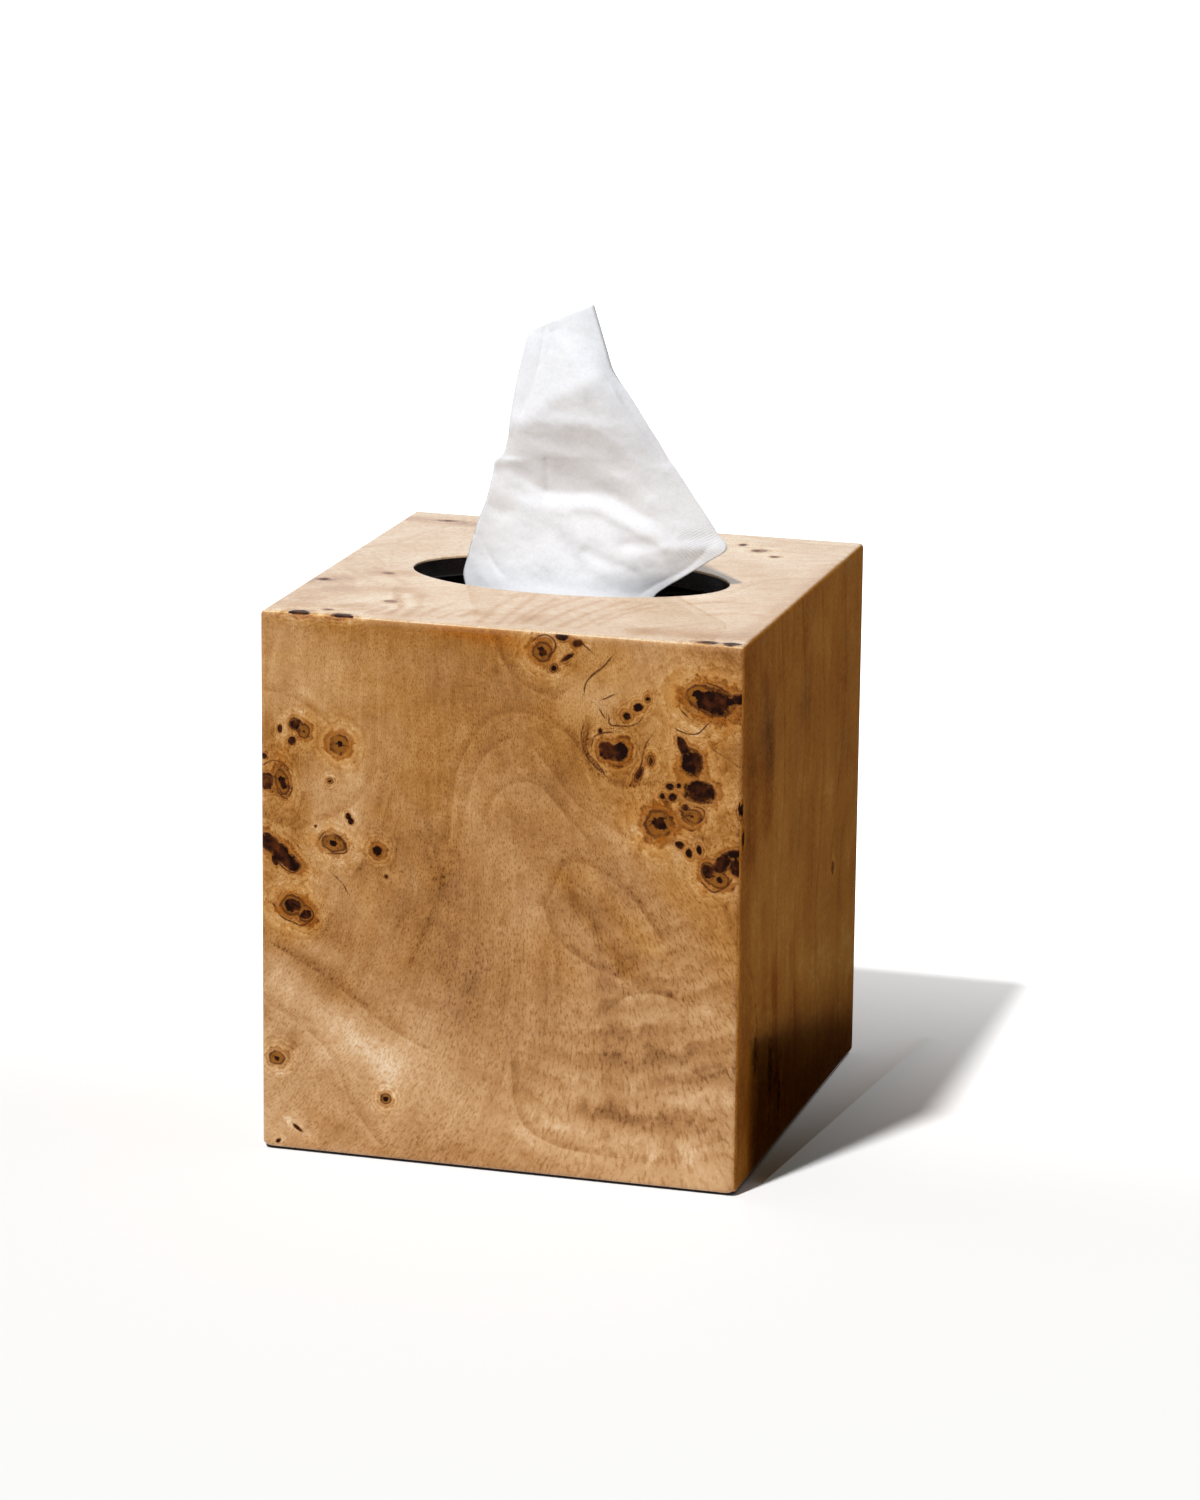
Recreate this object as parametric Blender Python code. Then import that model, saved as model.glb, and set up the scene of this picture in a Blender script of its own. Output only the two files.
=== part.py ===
"""Square tissue box cover in lacquered burl veneer, standing over a refill carton.

Metres, +Z up. The origin is on the shelf at the middle of the cover, the front faces -Y.
"""

import math

import bmesh
import bpy
from mathutils import Matrix, Vector

# Refill carton, which the cover is built round.
carton_width = 0.1110
carton_depth = 0.1110
carton_height = 0.1320
board_thickness = 0.0005
base_thickness = 0.0010
crease_gap = 0.0003

# Window in the carton's top and the film glued under it.
window_rim = 0.0060
window_margin = 0.0060
film_thickness = 0.0003
film_clearance = 0.0005
slit_end_margin = 0.0075
slit_width = 0.0064

# Stack of interfolded tissues in the carton, half used up.
stack_height = 0.0700
stack_clearance = 0.0030
stack_fold_radius = 0.0030

# Room that the cover leaves round the carton.
carton_clearance = 0.0038
headroom = 0.0093

# Build-up of the cover's walls and top.
core_thickness = 0.0048
veneer_thickness = 0.0006
glue_line = 0.0003
edge_radius = 0.0012

# Oval opening in the cover's top.
opening_length = 0.0870
opening_width = 0.0460

# Glue blocks in the corners and felt under the walls.
glue_block_length = 0.1000
block_clearance = 0.0012
felt_thickness = 0.0005
felt_width = 0.0038
felt_inset = 0.0006

# Tissue pulled up through the slit and the opening.
tissue_rise = 0.0738
sheet_thickness = 0.0005
layer_gap = 0.0011
pleat_depth = 0.0010
seat_gap = 0.0003

# How far cutters run past what they cut.
overrun = 0.0030

# Faceting of the oval cuts, the rounded edges and the tissue.
oval_steps = 56
round_steps = 3
sheet_steps = 9
back_layer_share = 0.86
pleat_count_share = 1.6
pleat_slant_share = 0.5
edge_limit_share = 2.3

# Tissue below the slit: place up the hang, left and right, in shares of the slit's half length.
hang_shares = (
    (0.00, -0.66, 0.56),
    (0.50, -0.66, 0.54),
    (1.00, -0.65, 0.52),
)

# Tissue above the slit. Left edge (x, y, z), right edge (x, y, z), forward and backward bulge.
# x is a share of the opening's half length, y and bulges of its half width, z of the rise
# above the cover's top or, where it is negative, of the drop from there to the slit.
rise_shares = (
    ((-0.63, -0.10, -0.46), (0.56, -0.13, -0.44), 0.26, 0.06),
    ((-0.67, -0.17, 0.001), (0.65, -0.06, 0.000), 0.39, 0.11),
    ((-0.635, -0.17, 0.068), (0.79, 0.07, 0.058), 0.48, 0.13),
    ((-0.60, -0.17, 0.136), (0.945, 0.17, 0.122), 0.52, 0.15),
    ((-0.56, -0.16, 0.224), (0.85, 0.17, 0.194), 0.48, 0.17),
    ((-0.515, -0.15, 0.312), (0.735, 0.16, 0.291), 0.37, 0.19),
    ((-0.47, -0.13, 0.397), (0.615, 0.13, 0.401), 0.20, 0.21),
    ((-0.42, -0.10, 0.477), (0.505, 0.10, 0.510), 0.07, 0.21),
    ((-0.39, -0.08, 0.569), (0.415, 0.07, 0.596), 0.03, 0.19),
    ((-0.345, -0.04, 0.691), (0.31, 0.03, 0.694), 0.09, 0.17),
    ((-0.31, -0.02, 0.800), (0.237, 0.01, 0.786), 0.15, 0.13),
    ((-0.283, 0.00, 0.866), (0.205, 0.00, 0.867), 0.17, 0.11),
    ((-0.232, 0.00, 0.905), (0.136, 0.00, 0.985), 0.15, 0.09),
)

# Sizes that follow from the ones above.
skin = veneer_thickness + glue_line
wall = core_thickness + skin
inner_half_width = carton_width / 2 + carton_clearance
inner_half_depth = carton_depth / 2 + carton_clearance
half_width = inner_half_width + wall
half_depth = inner_half_depth + wall
core_half_width = half_width - skin
core_half_depth = half_depth - skin
ceiling = carton_height + headroom
cover_height = ceiling + wall
wall_foot = felt_thickness + glue_line
mitre_gap = glue_line / math.sqrt(2)
edge_round = min(edge_radius, edge_limit_share * veneer_thickness)
glue_block_leg = 2 * (carton_clearance - glue_line) - block_clearance * math.sqrt(2)
window_length = carton_width - 2 * window_rim
window_width = opening_width + 2 * window_margin
slit_length = window_length - 2 * slit_end_margin
film_top = carton_height - board_thickness - crease_gap
slit_height = film_top - film_thickness
stack_floor = base_thickness + crease_gap


def clear_scene():
    for item in list(bpy.data.objects):
        bpy.data.objects.remove(item, do_unlink=True)


def finish(name, colour, roughness, metallic=0.0):
    material = bpy.data.materials.new(name)
    material.use_nodes = True
    shader = material.node_tree.nodes["Principled BSDF"]
    shader.inputs["Base Color"].default_value = (*colour, 1.0)
    shader.inputs["Roughness"].default_value = roughness
    shader.inputs["Metallic"].default_value = metallic
    return material


def add_object(name, mesh, material=None):
    item = bpy.data.objects.new(name, mesh)
    bpy.context.scene.collection.objects.link(item)
    if material:
        mesh.materials.append(material)
    return item


def solid(name, points, faces, material=None):
    mesh = bpy.data.meshes.new(name)
    mesh.from_pydata([Vector(point) for point in points], [], faces)
    shape = bmesh.new()
    shape.from_mesh(mesh)
    bmesh.ops.recalc_face_normals(shape, faces=shape.faces)
    shape.to_mesh(mesh)
    shape.free()
    return add_object(name, mesh, material)


def block(name, low, high, material=None, radius=0.0):
    """A box between two corners, its edges rounded when a radius is given."""
    mesh = bpy.data.meshes.new(name)
    shape = bmesh.new()
    bmesh.ops.create_cube(shape, size=1.0)
    size = Vector(high) - Vector(low)
    middle = (Vector(high) + Vector(low)) / 2
    bmesh.ops.transform(shape, matrix=Matrix.Diagonal((*size, 1.0)), verts=shape.verts)
    bmesh.ops.translate(shape, vec=middle, verts=shape.verts)
    if radius:
        bmesh.ops.bevel(shape, geom=shape.edges[:], offset=radius, segments=round_steps,
                        profile=0.5, affect="EDGES", clamp_overlap=True)
    shape.to_mesh(mesh)
    shape.free()
    return add_object(name, mesh, material)


def prism(name, outline, low, high, material=None):
    """An upright prism on a plan outline."""
    count = len(outline)
    points = [(x, y, z) for z in (low, high) for x, y in outline]
    sides = [(i, (i + 1) % count, count + (i + 1) % count, count + i) for i in range(count)]
    caps = [tuple(range(count)), tuple(range(count, 2 * count))]
    return solid(name, points, sides + caps, material)


def oval(length, width):
    turns = [2 * math.pi * step / oval_steps for step in range(oval_steps)]
    return [(length / 2 * math.cos(turn), width / 2 * math.sin(turn)) for turn in turns]


def cut(target, cutter, operation="DIFFERENCE"):
    cutter.hide_render = True
    cutter.display_type = "WIRE"
    change = target.modifiers.new(cutter.name, "BOOLEAN")
    change.operation = operation
    change.object = cutter
    change.solver = "EXACT"


sides = [(name, Matrix.Rotation(step * math.pi / 2, 4, "Z"), step % 2 == 1)
         for step, name in enumerate(("front", "right", "back", "left"))]


def side_halves(swapped, half_x, half_y):
    """Half length along a side and distance out to it, which swap at the right and left."""
    return (half_y, half_x) if swapped else (half_x, half_y)


def turned(item, turn):
    item.data.transform(turn)
    return item


def core_walls(material):
    """Four fibreboard walls, mitred at the upright corners."""
    for name, turn, swapped in sides:
        along, out = side_halves(swapped, core_half_width, core_half_depth)
        outer = along - mitre_gap
        inner = along - core_thickness - mitre_gap
        outline = [(-outer, -out), (outer, -out), (inner, core_thickness - out),
                   (-inner, core_thickness - out)]
        turned(prism(name + "_panel", outline, wall_foot, ceiling - glue_line, material), turn)


def core_top(material, opening):
    low = (-core_half_width, -core_half_depth, ceiling)
    high = (core_half_width, core_half_depth, ceiling + core_thickness)
    cut(block("top_panel", low, high, material), opening)


def frustum(name, points_low, points_high):
    """A six-sided body between two rectangles, each given by four points."""
    faces = [(0, 1, 2, 3), (4, 5, 6, 7)]
    faces += [(i, (i + 1) % 4, 4 + (i + 1) % 4, 4 + i) for i in range(4)]
    return solid(name, points_low + points_high, faces)


def side_mitre(name, along, out):
    """Room of one side veneer: mitred to its neighbours and to the top veneer."""
    def rectangle(depth):
        reach = along - depth - mitre_gap
        top = cover_height - depth - mitre_gap
        foot = wall_foot - overrun
        return [(-reach, depth - out, foot), (reach, depth - out, foot),
                (reach, depth - out, top), (-reach, depth - out, top)]
    return frustum(name, rectangle(-overrun), rectangle(skin))


def top_mitre(name):
    def rectangle(depth):
        x = half_width - depth - mitre_gap
        y = half_depth - depth - mitre_gap
        z = cover_height - depth
        return [(-x, -y, z), (x, -y, z), (x, y, z), (-x, y, z)]
    return frustum(name, rectangle(skin), rectangle(-overrun))


def veneers(material, opening):
    """Five burl leaves over the core, mitred where they meet and rounded at the edges."""
    low = (-half_width, -half_depth, wall_foot)
    high = (half_width, half_depth, cover_height)
    behind = block("behind_veneers",
                   (veneer_thickness - half_width, veneer_thickness - half_depth, -overrun),
                   (half_width - veneer_thickness, half_depth - veneer_thickness,
                    cover_height - veneer_thickness))
    for name, turn, swapped in sides:
        leaf = block(name + "_veneer", low, high, material, edge_round)
        along, out = side_halves(swapped, half_width, half_depth)
        cut(leaf, turned(side_mitre(name + "_veneer_room", along, out), turn), "INTERSECT")
        cut(leaf, behind)
    leaf = block("top_veneer", low, high, material, edge_round)
    cut(leaf, top_mitre("top_veneer_room"), "INTERSECT")
    cut(leaf, behind)
    cut(leaf, opening)


def glue_blocks(material):
    """Three-cornered blocks that stiffen the mitres from inside, under the top."""
    high = ceiling - glue_line
    corners = (("front_left", -1, -1), ("front_right", 1, -1),
               ("back_right", 1, 1), ("back_left", -1, 1))
    for name, side_x, side_y in corners:
        x = side_x * (inner_half_width - glue_line)
        y = side_y * (inner_half_depth - glue_line)
        outline = [(x, y), (x - side_x * glue_block_leg, y), (x, y - side_y * glue_block_leg)]
        prism(name + "_glue_block", outline, high - glue_block_length, high, material)


def felt_strips(material):
    """Felt under the four walls, mitred at the corners, set in from the outside."""
    for name, turn, swapped in sides:
        along, out = side_halves(swapped, half_width - felt_inset, half_depth - felt_inset)
        outer = along - mitre_gap
        inner = along - felt_width - mitre_gap
        outline = [(-outer, -out), (outer, -out), (inner, felt_width - out),
                   (-inner, felt_width - out)]
        turned(prism(name + "_felt", outline, 0.0, felt_thickness, material), turn)


def carton(material, window):
    """Refill carton, one solid for each panel between its creases."""
    x = carton_width / 2
    y = carton_depth / 2
    low = base_thickness + crease_gap
    high = carton_height - board_thickness - crease_gap
    block("carton_base", (-x, -y, 0.0), (x, y, base_thickness), material)
    for name, turn, swapped in sides:
        along, out = side_halves(swapped, x, y)
        reach = along - (board_thickness + crease_gap if swapped else 0.0)
        wall_block = block("carton_" + name, (-reach, -out, low),
                           (reach, board_thickness - out, high), material)
        turned(wall_block, turn)
    top = block("carton_top", (-x, -y, carton_height - board_thickness), (x, y, carton_height),
                material)
    cut(top, window)


def film(material, slit):
    """Clear film under the window, slit along its middle."""
    x = carton_width / 2 - board_thickness - film_clearance
    y = carton_depth / 2 - board_thickness - film_clearance
    sheet = block("window_film", (-x, -y, slit_height), (x, y, film_top), material)
    cut(sheet, slit)


def tissue_stack(material):
    x = carton_width / 2 - board_thickness - stack_clearance
    y = carton_depth / 2 - board_thickness - stack_clearance
    block("tissue_stack", (-x, -y, stack_floor), (x, y, stack_floor + stack_height), material,
          stack_fold_radius)


def hang_row(share, left, right):
    """Edges and bulges of the tissue at one place below the slit."""
    foot = stack_floor + stack_height + seat_gap + sheet_thickness / 2
    z = foot + share * (slit_height - foot)
    half = slit_length / 2
    return Vector((left * half, 0.0, z)), Vector((right * half, 0.0, z)), 0.0, 0.0


def rise_row(left, right, forward, backward):
    """Edges and bulges of the tissue at one place above the slit."""
    def place(shares):
        x, y, z = shares
        height = z * (tissue_rise if z > 0 else cover_height - slit_height)
        return Vector((x * opening_length / 2, y * opening_width / 2, cover_height + height))
    half = opening_width / 2
    return place(left), place(right), forward * half, backward * half


def layer_point(row, place, share, backward):
    """A point of the front or back layer, from the left edge at 0 to the right edge at 1."""
    left, right, bulge_front, bulge_back = row
    point = left.lerp(right, share)
    swell = math.sin(math.pi * share)
    wave = math.sin(2 * math.pi * (pleat_count_share * share + pleat_slant_share * place))
    fade = min(1.0, bulge_front / pleat_depth) * swell
    if backward:
        point.y += bulge_back * swell + layer_gap / 2
    else:
        point.y -= bulge_front * swell + layer_gap / 2
        point.y += pleat_depth * wave * fade
    return point


def tissue(material):
    """One sheet folded at its left edge, pulled up in a peak from the slit."""
    rows = [hang_row(*shares) for shares in hang_shares]
    rows += [rise_row(*shares) for shares in rise_shares]
    front = [step / sheet_steps for step in range(sheet_steps, -1, -1)]
    back = [back_layer_share * step / sheet_steps for step in range(sheet_steps + 1)]
    points = []
    for index, row in enumerate(rows):
        place = index / (len(rows) - 1)
        points += [layer_point(row, place, share, False) for share in front]
        points.append(row[0] - Vector((layer_gap / 2, 0.0, 0.0)))
        points += [layer_point(row, place, share, True) for share in back]
    across = len(front) + 1 + len(back)
    faces = [(across * r + c, across * r + c + 1, across * (r + 1) + c + 1, across * (r + 1) + c)
             for r in range(len(rows) - 1) for c in range(across - 1)]
    sheet = solid("pulled_tissue", points, faces, material)
    body = sheet.modifiers.new("thickness", "SOLIDIFY")
    body.thickness = sheet_thickness
    body.offset = 0.0
    body.use_rim = True
    sheet.data.shade_smooth()


def build():
    clear_scene()
    opening = prism("opening_cutter", oval(opening_length, opening_width),
                    ceiling - overrun, cover_height + overrun)
    window = prism("window_cutter", oval(window_length, window_width),
                   film_top, carton_height + overrun)
    slit = prism("slit_cutter", oval(slit_length, slit_width),
                 slit_height - overrun, film_top + overrun)
    fibreboard = finish("fibreboard", (0.035, 0.022, 0.018), 0.35)
    burl = finish("burl_veneer", (0.52, 0.29, 0.11), 0.12)
    pine = finish("pine", (0.62, 0.43, 0.24), 0.60)
    felt = finish("felt", (0.012, 0.011, 0.011), 0.95)
    board = finish("carton_board", (0.78, 0.77, 0.75), 0.55)
    clear = finish("clear_film", (0.70, 0.71, 0.72), 0.15)
    paper = finish("tissue_paper", (0.88, 0.88, 0.89), 0.90)
    core_walls(fibreboard)
    core_top(fibreboard, opening)
    veneers(burl, opening)
    glue_blocks(pine)
    felt_strips(felt)
    carton(board, window)
    film(clear, slit)
    tissue_stack(paper)
    tissue(paper)


build()
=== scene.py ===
"""Looks of the square tissue box cover in lacquered burl veneer, with its refill and tissue."""

import math

import bmesh
import bpy
import numpy as np
from mathutils import Matrix, Vector


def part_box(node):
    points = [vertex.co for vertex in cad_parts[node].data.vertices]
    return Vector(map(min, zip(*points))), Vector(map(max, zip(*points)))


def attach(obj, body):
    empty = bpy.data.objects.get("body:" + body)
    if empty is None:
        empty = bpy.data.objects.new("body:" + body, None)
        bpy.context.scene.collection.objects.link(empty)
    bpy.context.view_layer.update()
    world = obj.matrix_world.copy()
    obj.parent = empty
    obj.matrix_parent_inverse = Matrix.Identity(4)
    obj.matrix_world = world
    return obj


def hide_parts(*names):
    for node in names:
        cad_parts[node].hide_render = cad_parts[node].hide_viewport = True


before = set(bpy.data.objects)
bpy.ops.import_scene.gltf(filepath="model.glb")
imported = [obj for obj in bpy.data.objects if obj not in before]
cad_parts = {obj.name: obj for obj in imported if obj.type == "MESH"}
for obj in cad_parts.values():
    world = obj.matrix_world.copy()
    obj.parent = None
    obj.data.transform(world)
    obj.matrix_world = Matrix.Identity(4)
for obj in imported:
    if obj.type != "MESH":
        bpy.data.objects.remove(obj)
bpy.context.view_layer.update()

# Camera and studio. A long lens looks down on the box from a little right of its front.
# One soft key light stands high at the front left, and a pale floor runs out of sight.
box_low, box_high = (Vector(corner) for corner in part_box("front_felt"))
cover_width = box_high.x - box_low.x + 0.0012
view_azimuth = math.radians(16.053)
view_elevation = math.radians(14.585)
view_roll = math.radians(0.611)
view_distance = 1.4846
view_target = Vector((0.00863, 0.0, 0.09945))
long_side_px = 1500
focal_px = 5518.5
film_side_mm = 36.0
sun_from = Vector((-0.24, -0.57, 1.0))
sun_strength = 1.0 * math.pi
sun_spread = math.radians(4.0)
sky_on_object = 0.14
pure_white = (1.0, 1.0, 1.0)
floor_colour = (0.86, 0.86, 0.86)
floor_seen = (0.97, 0.97, 0.97)
floor_size = 14.0
fade_start, fade_end = -0.06, 0.26
fade_low, fade_high = 0.0, 0.76
flag_black = (0.02, 0.015, 0.01)
flag_glow = (0.040, 0.024, 0.005)
flag_gap = 0.0012
side_flag_ends, side_flag_height = (-0.07, 0.60), 0.155
front_flag_ends, front_flag_far, front_flag_lift = (-0.30, 0.08), -0.70, 0.0006
# The low card's front and back end: how far beyond the side card, y, and height.
low_flag_ends = ((0.003, -0.052, 0.038), (0.016, 0.085, 0.003))


def tint(colour):
    return (*colour, 1.0)


def feed(tree, node, inputs):
    """Links each input whose value is a socket, and sets any other."""
    for socket, value in inputs.items():
        if isinstance(value, bpy.types.NodeSocket):
            tree.links.new(value, node.inputs[socket])
        else:
            node.inputs[socket].default_value = value


def wire(tree, kind, inputs=None, **settings):
    """Adds a shader node with its settings and inputs."""
    made = tree.nodes.new("ShaderNode" + kind)
    for name, value in settings.items():
        setattr(made, name, value)
    feed(tree, made, inputs or {})
    return made


def sums(tree, operation, *values):
    """A Math node's result."""
    return wire(tree, "Math", dict(enumerate(values)), operation=operation).outputs[0]


def times(tree, product, *values):
    """The product of values."""
    for value in values:
        product = sums(tree, "MULTIPLY", product, value)
    return product


def seen_rays(tree):
    """1 for what the camera sees, straight or in gloss and glass, and 0 for other light."""
    rays = wire(tree, "LightPath")
    seen = sums(tree, "MAXIMUM", rays.outputs["Is Camera Ray"], rays.outputs["Is Glossy Ray"])
    return sums(tree, "MAXIMUM", seen, rays.outputs["Is Transmission Ray"])


def set_camera():
    back = Vector((math.sin(view_azimuth) * math.cos(view_elevation),
                   -math.cos(view_azimuth) * math.cos(view_elevation), math.sin(view_elevation)))
    right = (-back).cross(Vector((0, 0, 1))).normalized()
    up = right.cross(-back)
    tilt = Matrix.Rotation(view_roll, 3, back)
    right, up = tilt @ right, tilt @ up
    lens = bpy.data.cameras.new("camera")
    lens.sensor_fit = "AUTO"
    lens.sensor_width = film_side_mm
    lens.lens = focal_px / long_side_px * film_side_mm
    lens.clip_start = 0.05
    lens.clip_end = 60.0
    camera = bpy.data.objects.new("camera", lens)
    turn = Matrix((right, up, back)).transposed()
    camera.matrix_world = Matrix.Translation(view_target + view_distance * back) @ turn.to_4x4()
    bpy.context.scene.collection.objects.link(camera)
    bpy.context.scene.camera = camera


def set_lights():
    key = bpy.data.lights.new("key", "SUN")
    key.energy = sun_strength
    key.angle = sun_spread
    lamp = bpy.data.objects.new("key", key)
    lamp.rotation_euler = sun_from.to_track_quat("Z", "Y").to_euler()
    bpy.context.scene.collection.objects.link(lamp)
    world = bpy.data.worlds.new("sky")
    bpy.context.scene.world = world
    world.use_nodes = True
    tree = world.node_tree
    strength = sums(tree, "MULTIPLY_ADD", seen_rays(tree), 1.0 - sky_on_object, sky_on_object)
    feed(tree, tree.nodes["Background"], {"Color": tint(pure_white), "Strength": strength})


def surface(name):
    """A new node material with its tree and its Principled shader."""
    material = bpy.data.materials.new(name)
    material.use_nodes = True
    return material, material.node_tree, material.node_tree.nodes["Principled BSDF"]


def add_piece(name, points, faces, material, smooth=True):
    mesh = bpy.data.meshes.new(name)
    mesh.from_pydata(points, [], faces)
    mesh.validate()
    mesh.materials.append(material)
    if smooth:
        mesh.shade_smooth()
    piece = bpy.data.objects.new(name, mesh)
    bpy.context.scene.collection.objects.link(piece)
    return piece


def set_floor():
    """Pale paper whose painted glow grows towards the back, where the shadow melts into white."""
    material, tree, shader = surface("studio_floor")
    seen = seen_rays(tree)
    colour = wire(tree, "Mix", {0: seen, 6: tint(floor_colour), 7: tint(floor_seen)},
                  data_type="RGBA").outputs[2]
    place = wire(tree, "SeparateXYZ", {0: wire(tree, "TexCoord").outputs["Object"]})
    fade = wire(tree, "MapRange", {"Value": place.outputs["Y"], "From Min": fade_start,
                                   "From Max": fade_end, "To Min": fade_low, "To Max": fade_high},
                interpolation_type="SMOOTHSTEP").outputs["Result"]
    feed(tree, shader, {"Base Color": colour, "Roughness": 0.9, "Specular IOR Level": 0.0,
                        "Emission Color": tint(pure_white),
                        "Emission Strength": times(tree, fade, seen)})
    half = floor_size / 2
    floor = add_piece("studio_floor", [(-half, -half, 0.0), (half, -half, 0.0), (half, half, 0.0),
                                       (-half, half, 0.0)], [(0, 1, 2, 3)], material, False)


def set_flags():
    """Dark cards beside and before the box. Only its polish mirrors two of them. The low one
    swaps the soft light on the foot of the shaded side for a faint brown glow."""
    cloths = []
    for name in ("studio_flag", "studio_low_flag"):
        material, tree, shader = surface(name)
        feed(tree, shader, {"Base Color": tint(flag_black), "Roughness": 1.0,
                            "Specular IOR Level": 0.0})
        cloths.append(material)
    feed(tree, shader, {"Emission Color": tint(flag_glow), "Emission Strength": 1.0})
    x, near = cover_width / 2 + flag_gap, -cover_width / 2 - flag_gap
    front, back = side_flag_ends
    left, right = front_flag_ends
    cards = {
        "studio_side_flag": [(x, front, 0.0), (x, back, 0.0), (x, back, side_flag_height),
                             (x, front, side_flag_height)],
        "studio_front_flag": [(left, front_flag_far, front_flag_lift),
                              (right, front_flag_far, front_flag_lift),
                              (right, near, front_flag_lift), (left, near, front_flag_lift)],
    }
    for name, corners in cards.items():
        flag = add_piece(name, corners, [(0, 1, 2, 3)], cloths[0], False)
        for ray in ("camera", "diffuse", "shadow", "transmission", "volume_scatter"):
            setattr(flag, "visible_" + ray, False)
    (gap_0, y_0, high_0), (gap_1, y_1, high_1) = low_flag_ends
    corners = [(x + gap_0, y_0, 0.0), (x + gap_1, y_1, 0.0), (x + gap_1, y_1, high_1),
               (x + gap_0, y_0, high_0)]
    low_flag = add_piece("studio_low_flag", corners, [(0, 1, 2, 3)], cloths[1], False)
    low_flag.visible_camera = False
    low_flag.visible_shadow = False


set_camera()
set_lights()
set_floor()
set_flags()
bpy.context.scene.view_settings.view_transform = "Standard"

# Core walls. Four fibreboard walls, mitred at the upright corners and glued, carry the
# veneer. Inside and underfoot they are sprayed black-brown and rubbed to a low gloss.
half = -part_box("front_veneer")[0][1]
cover_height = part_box("top_veneer")[1][2]
foot_lift = 0.00001
wall_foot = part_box("front_felt")[1][2] + foot_lift
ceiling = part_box("top_panel")[0][2]
inner_half = -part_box("front_panel")[1][1]
edge_round = 0.0013
glue_film = 0.00002
leaf_thickness = 0.0006
board_gap = 0.0003
core_face = half - leaf_thickness - glue_film
foot_steps = 6
foot_chamfer = 0.0005
corner_wear = 0.0026
wear_height = 0.006
mitre_stations = (0.0, 0.00035, 0.00075, 0.0012, 0.0018, 0.0027)
sharp_turn = math.radians(35.0)
mm = 0.001
lacquer_brown = (0.020, 0.0105, 0.0085)
lacquer_black = (0.008, 0.005, 0.0045)


def noise(tree, vector, scale, detail=2.0, roughness=0.5, distortion=0.0):
    """Smooth noise about zero, from about -0.5 to 0.5."""
    made = wire(tree, "TexNoise", {"Vector": vector, "Scale": scale, "Detail": detail,
                                   "Roughness": roughness, "Distortion": distortion})
    return sums(tree, "SUBTRACT", made.outputs["Fac"], 0.5)


def blended(tree, amount, first, second, how="MIX"):
    made = wire(tree, "Mix", {0: amount, 6: first, 7: second}, data_type="RGBA", blend_type=how)
    return made.outputs[2]


def between(tree, value, start, end, low=0.0, high=1.0):
    """A smooth step from low at start to high at end."""
    made = wire(tree, "MapRange", {"Value": value, "From Min": start, "From Max": end,
                                   "To Min": low, "To Max": high}, interpolation_type="SMOOTHSTEP")
    return made.outputs["Result"]


def scaled(tree, vector, *factors):
    return wire(tree, "VectorMath", {0: vector, 1: factors}, operation="MULTIPLY").outputs[0]


def added(tree, *terms):
    """The sum of weighted values, each term being a value and its weight."""
    total = 0.0
    for value, weight in terms:
        total = sums(tree, "MULTIPLY_ADD", value, weight, total)
    return total


def in_mm(tree):
    """A point's place on the object in millimetres."""
    return scaled(tree, wire(tree, "TexCoord").outputs["Object"], 1 / mm, 1 / mm, 1 / mm)


def bump(tree, shader, height, strength, distance, socket="Normal"):
    made = wire(tree, "Bump", {"Strength": strength, "Distance": distance, "Height": height})
    tree.links.new(made.outputs[0], shader.inputs[socket])


def black_lacquer():
    """Spray lacquer over sanded fibreboard, with faint dust nibs and rub marks."""
    material, tree, shader = surface("black_lacquer")
    place = in_mm(tree)
    cloud, dust = noise(tree, place, 0.12, 3.0), noise(tree, place, 2.2, 2.0, 0.6)
    rubbed = noise(tree, scaled(tree, place, 0.15, 0.15, 3.0), 1.0, 3.0)
    shade = between(tree, added(tree, (cloud, 1.0), (dust, 0.35)), -0.25, 0.3)
    colour = blended(tree, shade, tint(lacquer_black), tint(lacquer_brown))
    rough = added(tree, (rubbed, 0.25), (dust, 0.15), (0.30, 1.0))
    feed(tree, shader, {"Base Color": colour, "Roughness": rough, "Specular IOR Level": 0.45})
    bump(tree, shader, added(tree, (cloud, 1.0), (dust, 0.4)), 0.3, 0.0001)
    return material


def worn(points):
    """Lifts the foot of the upright corners, where it is sanded and worn round."""
    points = np.array(points, float)
    near = np.abs(points[:, :2]).min(1) - (half - corner_wear)
    near = np.clip(near, 0, 0.95 * corner_wear)
    lift = corner_wear - np.sqrt(corner_wear ** 2 - near ** 2)
    points[:, 2] += lift * np.clip(1 - points[:, 2] / wear_height, 0, 1) ** 2
    return points.tolist()


def ring_faces(rings, count, closed=False, order=(0, 1, 2, 3)):
    """Quads between neighbouring rings of points, and back to the first ring when closed."""
    faces = []
    for ring in range(rings if closed else rings - 1):
        low, high = ring * count, (ring + 1) % rings * count
        for k in range(count):
            corners = (low + k, low + (k + 1) % count, high + (k + 1) % count, high + k)
            faces.append(tuple(corners[place] for place in order))
    return faces


def wall_profile():
    """Outline of a wall across its thickness: distance out from the middle, and height."""
    centre = half - edge_round
    start = math.acos((core_face - centre) / edge_round)
    turns = [start + (math.pi / 2 - start) * step / foot_steps for step in range(foot_steps + 1)]
    top = ceiling - board_gap
    outline = [(core_face, top)]
    outline += [(centre + edge_round * math.cos(turn),
                 wall_foot + edge_round * (1 - math.sin(turn))) for turn in turns]
    outline += [(inner_half + foot_chamfer, wall_foot), (inner_half, wall_foot + foot_chamfer)]
    return outline + [(inner_half, top)]


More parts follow.
